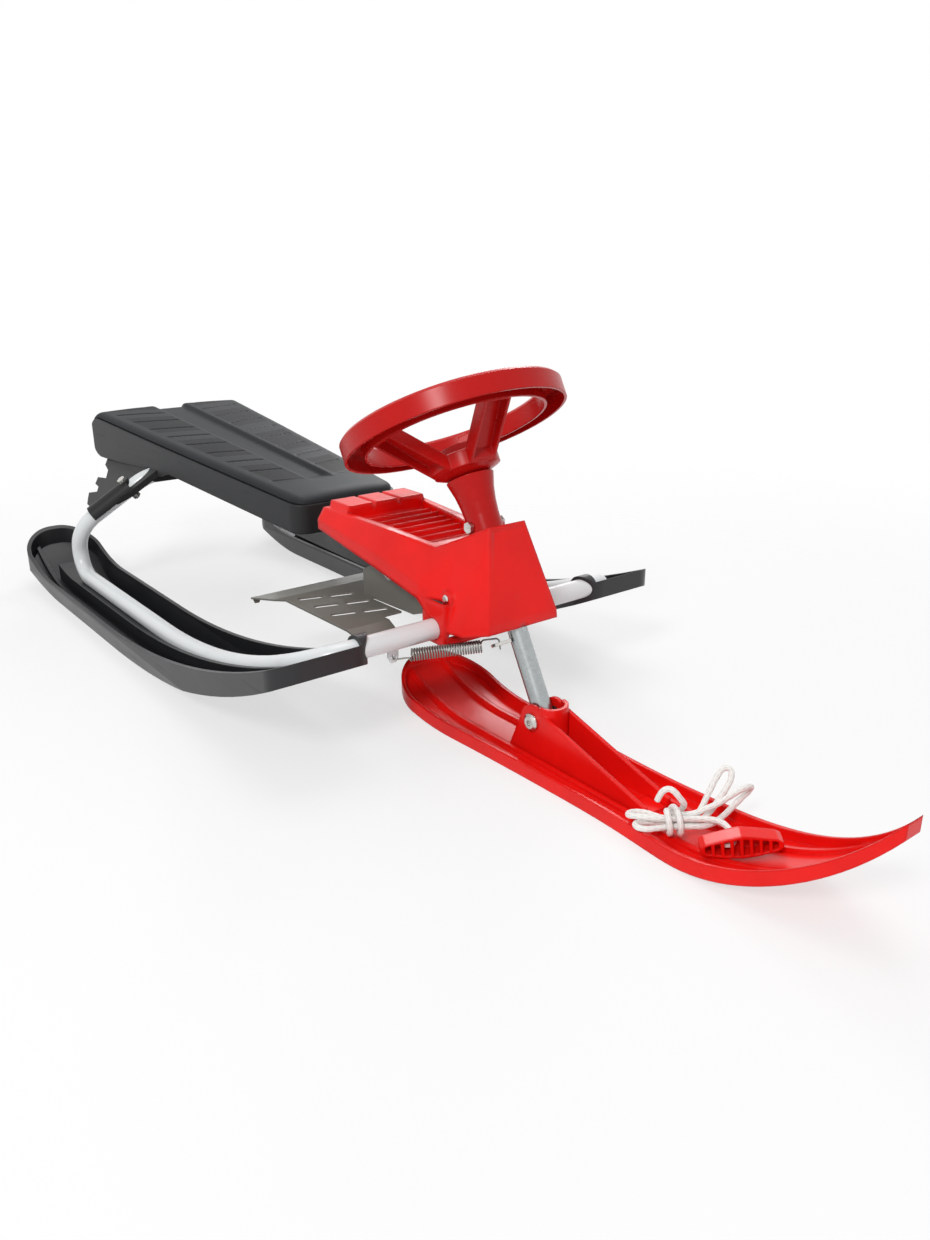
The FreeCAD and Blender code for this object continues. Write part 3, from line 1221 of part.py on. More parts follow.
keep(cone_nut, "cone_nut")

# Steering wheel: hub, three dished channel spokes and a channel rim, open below
wheel = body_of("steering_wheel", column_frame())
rim_top = f"({hub_low} + wheel_rise)"
rim_out = "rim_dia / 2"
rim_in = "(rim_dia / 2 - rim_width)"
spin(wheel, ((f"{rim_in}", f"{rim_top} - rim_depth"), (f"{rim_in}", f"{rim_top} - rim_wall"),
             (f"{rim_in} + rim_wall", rim_top), (f"{rim_out} - rim_wall", rim_top),
             (rim_out, f"{rim_top} - rim_wall"), (rim_out, f"{rim_top} - rim_depth"),
             (f"{rim_out} - rim_wall", f"{rim_top} - rim_depth"),
             (f"{rim_out} - rim_wall", f"{rim_top} - rim_wall"),
             (f"{rim_in} + rim_wall", f"{rim_top} - rim_wall"),
             (f"{rim_in} + rim_wall", f"{rim_top} - rim_depth")))
spoke_start = "(hub_dia / 2 - spoke_wall)"
spoke_end = f"({rim_in} + rim_wall / 2)"
spoke_turns = ["spoke_axis", "spoke_axis + 180 - spoke_spread", "spoke_axis + 180 + spoke_spread"]
for turn in spoke_turns:
    side = sketch_on(wheel, "XZ_Plane", val(turn))
    polygon(side, ((spoke_start, f"{hub_high} - spoke_wall / 2"), (spoke_end, f"{rim_top} - spoke_wall"),
                   (spoke_end, f"{rim_top} - spoke_wall - spoke_deep"),
                   (spoke_start, f"{hub_high} - spoke_wall / 2 - spoke_deep")))
    slab(wheel, side, "spoke_width")
spin(wheel, ((bore, hub_low), ("hub_dia / 4", hub_low), ("hub_dia / 2", f"{hub_high} - spoke_deep"),
             ("hub_dia / 2", f"{hub_high} - spoke_wall / 2"), ("hub_dia / 2 - spoke_wall", hub_high),
             ("wheel_bolt_dia / 2 + seat_gap", hub_high),
             ("wheel_bolt_dia / 2 + seat_gap", f"{hub_high} - hub_top"), (bore, f"{hub_high} - hub_top")))
for turn in spoke_turns:
    room = sketch_on(wheel, "XZ_Plane", val(turn))
    polygon(room, (("hub_dia / 2 + spoke_wall", f"{hub_high} - spoke_wall * 3 / 2"),
                   (f"{rim_in} - spoke_wall", f"{rim_top} - spoke_wall * 5 / 2"),
                   (f"{rim_in} - spoke_wall", f"{rim_top} - spoke_deep * 2"),
                   ("hub_dia / 2 + spoke_wall", f"{hub_high} - spoke_deep * 2")))
    slab(wheel, room, "spoke_width - 2 * spoke_wall", kind="Pocket")
keep(wheel, "steering_wheel")
wheel_bolt = screw("wheel_bolt", column_frame(val(f"{hub_high} + seat_gap")), "wheel_bolt_dia",
                   "hub_top + plug_length", "wheel_bolt_head", "wheel_bolt_head_high")
keep(wheel_bolt, "wheel_bolt")
plug_top = f"({tube_end} - seat_gap)"
turned("tube_plug", (("wheel_bolt_dia / 2 + seat_gap", f"{plug_top} - plug_length"),
                     ("column_dia / 2 - column_wall - seat_gap", f"{plug_top} - plug_length"),
                     ("column_dia / 2 - column_wall - seat_gap", plug_top),
                     ("wheel_bolt_dia / 2 + seat_gap", plug_top)), column_frame())
cap_low = f"({hub_high} + seat_gap)"
turned("wheel_cap", (("cap_dia / 2 - cap_wall", cap_low), ("cap_dia / 2", cap_low),
                     ("cap_dia / 2 - cap_wall", f"{cap_low} + cap_high"), ("0", f"{cap_low} + cap_high"),
                     ("0", f"{cap_low} + cap_high - cap_wall"),
                     ("cap_dia / 2 - 2 * cap_wall", f"{cap_low} + cap_high - cap_wall")), column_frame())

# Return spring between a tab on the column and an eye under the crossbar
anchor = Vector(val("crossbar_x"), -val("anchor_y"), val("crossbar_z - anchor_drop"))
tab_middle = on_column(0, 0, val("tab_s"))
column_way = column_frame().Rotation.multVec(AXIS_Z)
pull = anchor - tab_middle
tab_way = (pull - column_way * pull.dot(column_way)).normalize()
tab_turn = math.degrees(math.atan2(tab_way.y, tab_way.dot(column_frame().Rotation.multVec(AXIS_X))))
tab = body_of("spring_tab", column_frame(val("tab_s")) * Placement(ORIGIN, Rotation(AXIS_Z, tab_turn)))
arm = sketch_on(tab, "XY_Plane")
polygon(arm, ((bore, "-tab_width / 2"), ("tab_reach + tab_hole", "-tab_width / 2"),
              ("tab_reach + tab_hole * 3 / 2", "-tab_width / 4"),
              ("tab_reach + tab_hole * 3 / 2", "tab_width / 4"),
              ("tab_reach + tab_hole", "tab_width / 2"), (bore, "tab_width / 2")))
circle(arm, "tab_reach", "0", "tab_hole / 2")
slab(tab, arm, "tab_thick")
keep(tab, "spring_tab")
eye = body_of("spring_anchor", Placement(Vector(anchor.x, anchor.y, crossbar.z), Rotation()))
plate = sketch_on(eye, "YZ_Plane")
polygon(plate, (("-anchor_wide / 2", "-tube_dia / 2 - seat_gap"),
                ("-anchor_wide / 2", "-anchor_drop"), ("-anchor_wide / 4", "-anchor_drop - tab_hole"),
                ("anchor_wide / 4", "-anchor_drop - tab_hole"), ("anchor_wide / 2", "-anchor_drop"),
                ("anchor_wide / 2", "-tube_dia / 2 - seat_gap")))
circle(plate, "0", "-anchor_drop", "tab_hole / 2")
slab(eye, plate, "anchor_thick")
keep(eye, "spring_anchor")

hole = tab_middle + tab_way * val("tab_reach")
along = (anchor - hole).normalize()
reach = (anchor - hole).Length
first_x = (column_way - along * column_way.dot(along)).normalize()
first_y = along.cross(first_x)
last_x = (AXIS_X - along * AXIS_X.dot(along)).normalize()
coil_r = val("(spring_dia - spring_wire) / 2")
pitch = val("spring_pitch")
phase = math.atan2(last_x.dot(first_y), last_x.dot(first_x)) % (2 * math.pi)
turns = int(val("spring_turns")) + phase / (2 * math.pi)
coil_long = turns * pitch
coil_start = (reach - coil_long) / 2
hook_r = val("spring_wire * 2")
wire_gap = val("tab_hole")


def coil_point(turn):
    """Point and tangent of the coil after a number of turns."""
    angle = 2 * math.pi * turn
    out = first_x * math.cos(angle) + first_y * math.sin(angle)
    way = (first_y * math.cos(angle) - first_x * math.sin(angle)) * (2 * math.pi * coil_r)
    return (hole + along * (coil_start + turn * pitch) + out * coil_r,
            (way + along * pitch).normalize())


def hook(spot, side, way):
    """Wire through a hole, bent over to run along the spring beside its axis."""
    top = spot + side * (coil_r - hook_r)
    far = spot + side * coil_r + way * hook_r
    middle = spot + side * (coil_r - hook_r) + way * hook_r
    knee_way = (side - way).normalize()
    return [Part.makeLine(spot - side * wire_gap, top),
            Part.Arc(top, middle + knee_way * hook_r, far).toShape()]


first_hook = hook(hole, first_x, along)
last_hook = hook(anchor, last_x, -along)
hook_end = hole + first_x * coil_r + along * hook_r
coil_edges = []
start_point, start_way = coil_point(1 / 4)
rise = hole + first_x * coil_r + along * (coil_start - pitch)
coil_edges += first_hook + [Part.makeLine(hook_end, rise)]
coil_edges += biarc(rise, along, start_point, start_way)
QUARTER = 1 / 4
count = int((turns - 2 * QUARTER) / QUARTER)
stops = [QUARTER + (turns - 2 * QUARTER) * i / count for i in range(count + 1)]
for one, two in zip(stops, stops[1:]):
    coil_edges += biarc(*coil_point(one), *coil_point(two))
end_point, end_way = coil_point(stops[-1])
fall = anchor + last_x * coil_r - along * (coil_start - pitch)
coil_edges += biarc(end_point, end_way, fall, along)
coil_edges += [Part.makeLine(fall, anchor + last_x * coil_r - along * hook_r)]
coil_edges += last_hook[::-1]
coil_path = Part.Wire(Part.__sortEdges__(coil_edges))
print("return spring: wire", round(coil_path.Length, 1), "turns", round(turns, 2),
      "least gap to itself", round(self_gap(coil_path, val("spring_wire")), 2))
spring = wire_on(coil_path, val("spring_wire"))
print("return spring volume share", round(spring.Volume / (coil_path.Length * math.pi
                                                           * val("spring_wire / 2") ** 2), 4))
feature("return_spring", spring)

# Foot brake: one bent sheet with a toothed flap, slotted treads and two ears on a hinge pin
BRAKE_FRONT_SHARE = 0.93
TOOTH_SHARES = (0.08, 0.3, 0.52, 0.74, 0.95)
SLOT_X_SHARES = (0.28, 0.53, 0.79)
SLOT_Y_SHARES = (0.24, 0.67)
SLOT_SLANT_SHARE = 0.35
EAR_SHARES = ((-0.72, -1), (-0.72, -0.2), (-0.2, 0.27), (0.2, 0.27), (0.82, -0.5), (0.82, -0.75),
              (0.6, -0.9))
sheet_thick = val("brake_sheet")
pin = Vector(val("brake_pin_x"), 0, val("brake_pin_z"))
brake_line = [
    Vector(val("brake_rear_x"), 0, val("brake_rear_z")),
    Vector(val("brake_bend_x"), 0, val("brake_bend_z")),
    Vector(val("brake_front_x"), 0, val("brake_front_z")),
    Vector(val("brake_front_x + brake_lip"), 0, val("brake_front_z - brake_lip_drop")),
]
flap_half = val("brake_flap_half")
tread = val("brake_half")
tread_inner = val("brake_tread_inner")
notch_x = val("brake_notch_x")
flap_x = val("brake_rear_x")
bend_x = val("brake_bend_x")
front_x = val("brake_front_x + brake_lip")
side_line = brake_line + [p + AXIS_Z * sheet_thick for p in reversed(brake_line)]
band = prism([p - AXIS_Y * flap_half for p in side_line], AXIS_Y * (2 * flap_half))
half_plan = ((flap_x - over, 0), (flap_x - over, flap_half), (bend_x, flap_half),
             (bend_x + flap_half - tread, tread), (front_x - val("brake_lip"), tread),
             (front_x + over, BRAKE_FRONT_SHARE * tread), (front_x + over, val("brake_lip_inner")),
             (val("brake_inner_front_x"), val("brake_lip_inner")),
             (val("brake_inner_front_x"), tread_inner), (notch_x, tread_inner), (notch_x, 0))
plan_height = AXIS_Z * val("brake_pin_z")
plan_right = prism([Vector(x, -y, 0) for x, y in half_plan], plan_height)
plan_left = prism([Vector(x, y, 0) for x, y in half_plan], plan_height)
plate = band.common(plan_right.fuse(plan_left).removeSplitter())
ear_reach = val("brake_front_x - brake_pin_x + brake_lip * 2")
ear_drop = val("brake_pin_z - brake_bend_z")
tooth = val("brake_tooth")
teeth_low = val("brake_rear_z") - tooth
parts = []
for sign in (-1, 1):
    ear_y = sign * val("brake_ear_y") - sheet_thick / 2
    parts.append(prism([pin + Vector(u * ear_reach, ear_y, v * ear_drop) for u, v in EAR_SHARES],
                       Vector(0, sheet_thick, 0)))
    for share in TOOTH_SHARES:
        y = sign * share * flap_half
        parts.append(prism([Vector(flap_x, y - tooth, teeth_low + tooth + sheet_thick),
                            Vector(flap_x, y + tooth, teeth_low + tooth + sheet_thick),
                            Vector(flap_x, y + tooth / 2, teeth_low),
                            Vector(flap_x, y - tooth / 2, teeth_low)], Vector(sheet_thick, 0, 0)))
plate = plate.fuse(parts).removeSplitter()
slot_wide = val("brake_slot_wide")
slot_long = val("brake_slot_long")
for x_share in SLOT_X_SHARES:
    for y_share in SLOT_Y_SHARES:
        middle = tread_inner + y_share * (tread - tread_inner)
        x = bend_x + x_share * val("brake_front_x - brake_bend_x")
        x -= SLOT_SLANT_SHARE * (middle - tread_inner)
        ends = [Vector(x + SLOT_SLANT_SHARE * slot_wide, middle - slot_long / 2 + slot_wide / 2, 0),
                Vector(x - SLOT_SLANT_SHARE * slot_wide, middle + slot_long / 2 - slot_wide / 2, 0)]
        for sign in (-1, 1):
            low, high = (Vector(p.x, sign * p.y, 0) for p in ends)
            across_slot = (high - low).cross(AXIS_Z).normalize() * (slot_wide / 2)
            hole = prism([low - across_slot, high - across_slot, high + across_slot, low + across_slot],
                         plan_height)
            hole = hole.fuse([rod(p, AXIS_Z, plan_height.z, slot_wide) for p in (low, high)])
            plate = plate.cut(hole)
plate = plate.cut(rod(pin - AXIS_Y * tread, AXIS_Y, 2 * tread, val("brake_pin_dia + 2 * run_gap")))
feature("brake_plate", plate)
clip_near = "brake_ear_y + brake_sheet / 2 + free_gap"
turned("brake_pin", (("0", f"-({clip_near} + clip_thick * 3)"),
                     ("brake_pin_dia / 2", f"-({clip_near} + clip_thick * 3)"),
                     ("brake_pin_dia / 2", f"{clip_near} + clip_thick * 3"),
                     ("0", f"{clip_near} + clip_thick * 3")), across(pin.x, 0, pin.z))
washer = body_of("pin_clip", across(pin.x, 0, pin.z))
spin(washer, (("brake_pin_dia / 2 + seat_gap", clip_near), ("clip_dia / 2", clip_near),
              ("clip_dia / 2", f"{clip_near} + clip_thick"),
              ("brake_pin_dia / 2 + seat_gap", f"{clip_near} + clip_thick")))
grouped("pin_clips", [washer, mirrored(washer)])

# Front ski: a waisted tray with turned-up ends, two long ribs and the pivot tower
FRONT_WAIST_SHARES = (0.45, 0.6)
FRONT_BOW_SHARES = (0.905, 0.64)
front_rear = val("front_rear_x")
nose = val("front_nose_x")
front_long = nose - front_rear
front_tall = val("front_nose_rise + front_rim * 3")


def front_plan(inset):
    """Plan of the front ski, inset by its wall."""
    tail = val("front_tail_half") - inset
    waist = val("front_waist_half") - inset
    shovel = val("front_shovel_half") - inset
    tip = val("front_tip_half") - inset / 2
    spots = [(front_rear + tail + inset, tail)]
    spots += [(front_rear + share * front_long, waist) for share in FRONT_WAIST_SHARES]
    spots += [(val("front_shovel_x"), shovel),
              (front_rear + FRONT_BOW_SHARES[0] * front_long, FRONT_BOW_SHARES[1] * shovel),
              (nose - inset, tip)]
    right = [Vector(x, -y, 0) for x, y in spots]
    left = [Vector(x, y, 0) for x, y in reversed(spots)]
    edges = []
    for side_points in (right, left):
        curve = Part.BSplineCurve()
        curve.interpolate(side_points)
        edges.append(curve.toShape())
    edges.insert(1, Part.makeLine(right[-1], left[0]))
    edges.append(Part.Arc(left[-1], Vector(front_rear + inset, 0, 0), right[0]).toShape())
    return Part.Face(Part.Wire(edges)).extrude(Vector(0, 0, front_tall))


def front_face(lift, rim_lift):
    """Side face of the front ski between its sole, raised by lift, and its rim, raised by rim_lift."""
    low0 = val("front_rear_rise")
    low1 = val("front_nose_rise")
    rim = val("front_rim") + rim_lift
    return rockered(val("front_flat_rear_x"), val("front_flat_front_x"),
                    (front_rear, low0 + lift, low0 + rim), (nose, low1 + lift, low1 + rim), lift, rim)


front_width = val("front_tail_half") * 2
runner = ski_band(front_face(0, 0), 0, front_width / 2).common(front_plan(0))
front_room = ski_band(front_face(val("front_sole"), val("front_nose_rise")), 0, front_width / 2)
runner = runner.cut(front_room.common(front_plan(val("front_wall"))))
rib_strip = front_face(val("front_sole / 2"), val("front_sole + front_rib_high - front_rim"))
long_ribs = [ski_band(rib_strip, sign * val("front_rib_offset"), val("ski_rib_width / 2"))
             for sign in (-1, 1)]
long_ribs = [rib.common(front_plan(val("front_wall / 2"))) for rib in long_ribs]

# Tower: two cheeks with gussets, a round wall in front of the column and a cross floor
pivot = on_column(0, 0, -val("pivot_drop"))
tower_rear = val("tower_rear_x")
tower_long = val("tower_front_x") - tower_rear
cheek_in = val("tower_gap_half")
cheek = val("tower_cheek")
round_r = val("tower_round")
floor_top = val("front_sole")
cheeks = []
for sign in (-1, 1):
    y = sign * cheek_in if sign > 0 else -cheek_in - cheek
    arch = [Vector(tower_rear, y, floor_top / 2), Vector(pivot.x - round_r, y, pivot.z),
            Vector(pivot.x + round_r * math.cos(math.pi / 4), y, pivot.z + round_r * math.sin(math.pi / 4)),
            Vector(tower_rear + tower_long, y, val("front_rim")),
            Vector(tower_rear + tower_long, y, floor_top / 2)]
    crown = Part.Arc(arch[1], Vector(pivot.x - round_r * math.cos(3 * math.pi / 8), y,
                                     pivot.z + round_r * math.sin(3 * math.pi / 8)), arch[2]).toShape()
    outline = [Part.makeLine(arch[0], arch[1]), crown, Part.makeLine(arch[2], arch[3]),
               Part.makeLine(arch[3], arch[4]), Part.makeLine(arch[4], arch[0])]
    cheeks.append(Part.Face(Part.Wire(outline)).extrude(Vector(0, cheek, 0)))
cup_out = cheek_in + cheek
cup_low = Vector(val("tower_cup_x"), 0, floor_top / 2)
cup_high = val("tower_cup_top") - floor_top / 2
cup = rod(cup_low, AXIS_Z, cup_high, 2 * cup_out).cut(rod(cup_low, AXIS_Z, cup_high, 2 * (cup_out - cheek)))
cup = cup.common(block(val("tower_cup_x"), val("tower_cup_x") + cup_out, -cup_out, cup_out, 0,
                       val("tower_cup_top")))
pad_half = val("pad_plate_long / 2")
pad_x = val("tower_front_x") - pad_half
pad_block = block(pad_x - pad_half, pad_x + pad_half, -pad_half, pad_half, floor_top / 2,
                  floor_top + val("pad_plate_high"))
front_ski = runner.fuse(long_ribs + cheeks + [cup, pad_block]).removeSplitter()
front_ski = front_ski.cut(rod(pivot - AXIS_Y * front_width, AXIS_Y, 2 * front_width,
                              val("pivot_bolt_dia") + 2 * gap))
tube_room = rod(on_column(0, 0, -val("column_foot") - over), column_way, val("column_foot") + tall,
                val("column_dia") + 4 * free)
front_ski = front_ski.cut(tube_room)
feature("front_ski", front_ski)

# Pivot bolt across the tower, its nut and the two spacer bushes beside the steering tube
tower_out = "tower_gap_half + tower_cheek + seat_gap"
bolt_foot = Placement(pivot - AXIS_Y * val(tower_out), right_way)
pivot_bolt = body_of("pivot_bolt", bolt_foot)
spin(pivot_bolt, (("0", f"-2 * ({tower_out}) - pivot_nut_high * 4 / 3"),
                  ("pivot_bolt_dia / 2", f"-2 * ({tower_out}) - pivot_nut_high * 4 / 3"),
                  ("pivot_bolt_dia / 2", "0"), ("pivot_bolt_head / 2", "0"),
                  ("pivot_bolt_head / 2", "pivot_bolt_head_high / 2"),
                  ("pivot_bolt_head / 3", "pivot_bolt_head_high"), ("0", "pivot_bolt_head_high")))
socket = sketch_on(pivot_bolt, "XY_Plane", lift=val("pivot_bolt_head_high / 3"))
hexagon(socket, "pivot_socket")
slab(pivot_bolt, socket, "pivot_bolt_head_high", kind="Pocket", both=False, back=True)
keep(pivot_bolt, "pivot_bolt")
keep(nut("pivot_nut", Placement(pivot + AXIS_Y * val(tower_out), left_way), "pivot_bolt_dia",
         "pivot_nut_flats", "pivot_nut_high"), "pivot_nut")
bush = body_of("pivot_bush", across(pivot.x, 0, pivot.z))
near_tube = "column_dia / 2 + free_gap"
near_cheek = "tower_gap_half - seat_gap"
spin(bush, (("pivot_bolt_dia / 2 + seat_gap", near_tube), ("pivot_bush_dia / 2", near_tube),
            ("pivot_bush_dia / 2", near_cheek), ("pivot_bolt_dia / 2 + seat_gap", near_cheek)))
grouped("pivot_bushes", [bush, mirrored(bush)])

# Rope handle: a lozenge grip, hollow behind a row of windows, with two rope holes in its back
HANDLE_SHARES = ((-0.5, -0.1), (-0.44, -0.24), (-0.2, -0.4), (0, -0.46), (0.2, -0.4), (0.44, -0.24),
                 (0.5, -0.1), (0.5, 0.1), (0.44, 0.24), (0.16, 0.42), (0, 0.5), (-0.16, 0.42),
                 (-0.44, 0.24), (-0.5, 0.1))
ROPE_HOLE_SHARES = (-0.066, -0.226)
handle_frame = Placement(
    Vector(val("handle_x"), val("handle_y"), val("handle_z")),
    Rotation(AXIS_Z, val("handle_turn")) * Rotation(AXIS_Y, -val("handle_tilt")))
handle_long = val("handle_long")
handle_wide = val("handle_wide")
handle_thick = val("handle_thick")
handle_wall = val("handle_wall")


def lozenge(inset, y0, y1):
    """Make the handle's outline, inset by a wall, between two places across its thickness."""
    long = handle_long - 2 * inset
    wide = handle_wide - 2 * inset
    return prism([Vector(u * long, y0, v * wide) for u, v in HANDLE_SHARES], Vector(0, y1 - y0, 0))


back = handle_thick / 2
grip_piece = lozenge(0, -back, back)
grip_piece = grip_piece.cut(lozenge(handle_wall, handle_wall - back, back - handle_wall * 4 / 3))
window_room = lozenge(handle_wall, -back - over, handle_wall - back + over)
windows = int(val("handle_windows"))
pitch_u = (handle_long - 2 * handle_wall) / windows
for i in range(windows):
    u = -handle_long / 2 + handle_wall + (i + 1 / 2) * pitch_u
    slot = block(u - pitch_u / 2 + handle_wall / 2, u + pitch_u / 2 - handle_wall / 2, -back - over,
                 handle_wall - back + over, -handle_wide / 2, handle_wide / 2)
    grip_piece = grip_piece.cut(slot.common(window_room))
for share in ROPE_HOLE_SHARES:
    grip_piece = grip_piece.cut(rod(Vector(share * handle_long, 0, 0), AXIS_Y, handle_thick,
                                    val("rope_dia") + 2 * free))
feature("rope_handle", grip_piece).Placement = handle_frame

# Tow rope: up from the ski, through the handle and back, then gathered into a tied bundle
ROPE_ROUTE = (
    (445.6, -6.2, 5.2), (445.6, -6.2, 11.0), (449.6, -6.8, 16.2), (456.3, -7.8, 21.0),
    (467.4, -17.9, 21.0), (474.0, -10.7, 22.4), (462.9, -0.6, 22.4), (454.7, 3.8, 23.5),
    (446.6, 3.1, 24.5), (438.2, -1.7, 23.5), (432.2, -7.2, 22.9), (418.7, -24.6, 22.9),
    (414.8, -31.7, 24.0), (408.5, -38.2, 24.6), (400.8, -42.4, 23.6), (393.3, -42.2, 20.6),
    (389.0, -36.3, 18.6), (390.3, -29.1, 17.6), (396.4, -23.7, 17.5), (404.3, -21.6, 17.5),
    (411.6, -19.0, 17.5), (425.1, -1.7, 17.5), (425.2, 5.9, 19.0), (423.6, 13.5, 24.5),
    (422.3, 20.8, 32.0), (420.6, 29.2, 39.0), (419.6, 36.2, 44.4), (421.0, 41.3, 47.8),
    (425.8, 43.5, 46.8), (429.0, 40.2, 41.6), (430.1, 33.1, 35.2), (430.5, 24.5, 29.0),
    (431.2, 17.6, 24.3), (431.3, 10.0, 19.8), (431.3, 1.8, 17.6), (429.8, -5.3, 17.3),
    (416.2, -22.7, 17.3), (411.0, -27.4, 16.9), (405.6, -33.4, 16.8), (402.3, -38.9, 17.4),
    (403.0, -44.8, 18.0), (408.6, -46.4, 18.0), (414.0, -41.8, 17.7), (417.6, -33.9, 17.3),
    (420.9, -26.3, 17.5), (434.4, -9.0, 17.5), (438.9, -1.0, 17.0), (441.1, 9.9, 18.5),
    (441.3, 22.4, 22.5), (441.1, 32.8, 26.8), (440.8, 41.3, 29.6), (441.2, 47.9, 32.4),
    (443.5, 48.2, 37.6), (444.3, 40.5, 40.6), (443.0, 30.1, 39.0), (440.7, 20.4, 35.6),
    (438.2, 10.9, 31.8), (432.7, 2.6, 28.0), (427.3, -3.4, 22.9), (416.9, -16.8, 22.9),
    (415.1, -22.4, 28.8), (422.1, -27.9, 29.2), (427.4, -30.1, 19.5), (424.2, -26.4, 11.0),
    (411.6, -14.6, 11.0), (408.9, -10.6, 19.5), (413.7, -12.9, 28.0), (420.8, -16.8, 30.0),
    (427.7, -21.0, 28.0), (432.5, -23.2, 19.5), (429.5, -19.6, 11.0), (417.1, -7.6, 11.0),
    (414.4, -3.5, 19.5), (419.3, -5.8, 28.0), (423.3, -10.4, 33.5), (421.6, -14.2, 39.0),
    (418.3, -16.7, 44.0), (414.2, -19.1, 46.4), (410.1, -21.7, 43.4), (407.8, -23.1, 37.5),
    (406.4, -23.9, 32.5),
)
CORD_SHARE = 0.45
rope_points = [Vector(*p) for p in ROPE_ROUTE]
rope_radii = []
for before, corner, after in zip(rope_points, rope_points[1:], rope_points[2:]):
    turn = (corner - before).getAngle(after - corner)
    run = min((corner - before).Length, (after - corner).Length)
    rope_radii.append(CORD_SHARE * run / math.tan(turn / 2))
rope_path = bent(rope_points, rope_radii)
print("tow rope: length", round(rope_path.Length, 1), "least gap to itself",
      round(self_gap(rope_path, val("rope_dia")), 2))
print("tow rope radii", " ".join(str(round(r, 1)) for r in rope_radii))
rope = wire_on(rope_path, val("rope_dia"))
rope_area = math.pi * val("rope_dia / 2") ** 2
print("tow rope volume share", round(rope.Volume / (rope_path.Length * rope_area), 4))
feature("tow_rope", rope)

# Check every object and write the sub-parts
doc.recompute()
for thing in doc.Objects:
    if "Invalid" in thing.State or "Error" in thing.State:
        raise RuntimeError(f"{thing.Name} failed: {thing.State}")
os.makedirs("parts", exist_ok=True)
for node in nodes:
    if node.Shape.isNull() or not node.Shape.isValid():
        raise RuntimeError(f"{node.Label} has no valid shape")
for node in nodes:
    node.Shape.exportStep(f"parts/{node.Label}.step")
print(len(nodes), "sub-parts")
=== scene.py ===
"""Looks of the steering sled: a finish for every CAD node, and a finer seat pad, spring and tow rope.

Lengths are metres in the sled's own frame: +X forward, +Y to the rider's left, +Z up, ground at 0.
"""
import json
import logging
import math
from dataclasses import dataclass
from enum import Enum
from functools import lru_cache
from itertools import accumulate
from typing import Any, Optional, Union

import bpy
import numpy as np
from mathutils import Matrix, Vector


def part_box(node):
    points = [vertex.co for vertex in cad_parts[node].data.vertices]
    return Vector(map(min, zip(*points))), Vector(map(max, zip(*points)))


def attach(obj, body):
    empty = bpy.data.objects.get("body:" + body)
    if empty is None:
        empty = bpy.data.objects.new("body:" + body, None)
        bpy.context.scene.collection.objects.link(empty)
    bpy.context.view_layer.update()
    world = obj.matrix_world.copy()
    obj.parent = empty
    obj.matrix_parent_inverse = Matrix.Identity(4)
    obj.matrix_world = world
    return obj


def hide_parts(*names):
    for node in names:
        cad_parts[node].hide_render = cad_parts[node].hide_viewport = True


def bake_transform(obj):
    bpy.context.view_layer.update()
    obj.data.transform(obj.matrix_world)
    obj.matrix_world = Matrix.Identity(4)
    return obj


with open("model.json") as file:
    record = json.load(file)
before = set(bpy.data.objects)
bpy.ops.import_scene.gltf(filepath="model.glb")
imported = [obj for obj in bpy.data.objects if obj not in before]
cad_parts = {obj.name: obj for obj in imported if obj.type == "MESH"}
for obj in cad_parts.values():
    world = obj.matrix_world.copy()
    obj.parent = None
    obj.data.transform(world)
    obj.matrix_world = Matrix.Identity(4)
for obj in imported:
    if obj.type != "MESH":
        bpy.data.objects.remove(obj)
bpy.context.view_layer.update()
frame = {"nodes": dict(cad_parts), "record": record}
log = logging.getLogger("sled")
Array = np.ndarray
Colour = tuple[float, float, float]
Spot = tuple[float, float, float]
Limits = tuple[float, float]
Nodes = tuple[str, ...]

FULL_TURN = 2.0 * math.pi
QUARTER_TURN = math.pi / 2.0

# The steering column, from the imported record
STEER = next(joint for joint in frame["record"]["behaviour"]["joints"] if joint["name"] == "steer")
RAKE = math.atan2(-STEER["axis"][0], STEER["axis"][2])


class Body(Enum):
    """The bodies that the pieces made here ride on."""

    FRAME = "frame"
    STEERING = "steering"
    RUNNER = "front_runner"


class Tap:
    """A value inside a shader. Arithmetic on it adds Math nodes."""

    def __init__(self, bench: "Bench", socket: bpy.types.NodeSocket) -> None:
        """Keep the socket and the bench that it belongs to."""
        self.bench = bench
        self.socket = socket

    def math(self, operation: str, *others: "Number") -> "Tap":
        """The result of one Math node on this value and the others after it."""
        return self.bench.node("ShaderNodeMath", {"operation": operation}, dict(enumerate((self, *others))))

    def __add__(self, other: "Number") -> "Tap":
        """This plus another value."""
        return self.math("ADD", other)

    def __mul__(self, other: "Number") -> "Tap":
        """This times another value."""
        return self.math("MULTIPLY", other)

    def __sub__(self, other: "Number") -> "Tap":
        """This less another value."""
        return self.math("SUBTRACT", other)

    def __rsub__(self, other: "Number") -> "Tap":
        """Another value less this one."""
        return self.bench.node("ShaderNodeMath", {"operation": "SUBTRACT"}, {0: other, 1: self})

    __radd__ = __add__
    __rmul__ = __mul__

    def clip(self) -> "Tap":
        """This, held between 0 and 1."""
        return self.math("MAXIMUM", 0.0).math("MINIMUM", 1.0)

    def step(self, low: float, high: float) -> "Tap":
        """A smooth step that is 0 below low and 1 above high."""
        return self.bench.node("ShaderNodeMapRange", {"interpolation_type": "SMOOTHSTEP"},
                               {"Value": self, "From Min": low, "From Max": high})


Number = Union[Tap, float]
Value = Union[Tap, float, tuple[float, ...]]


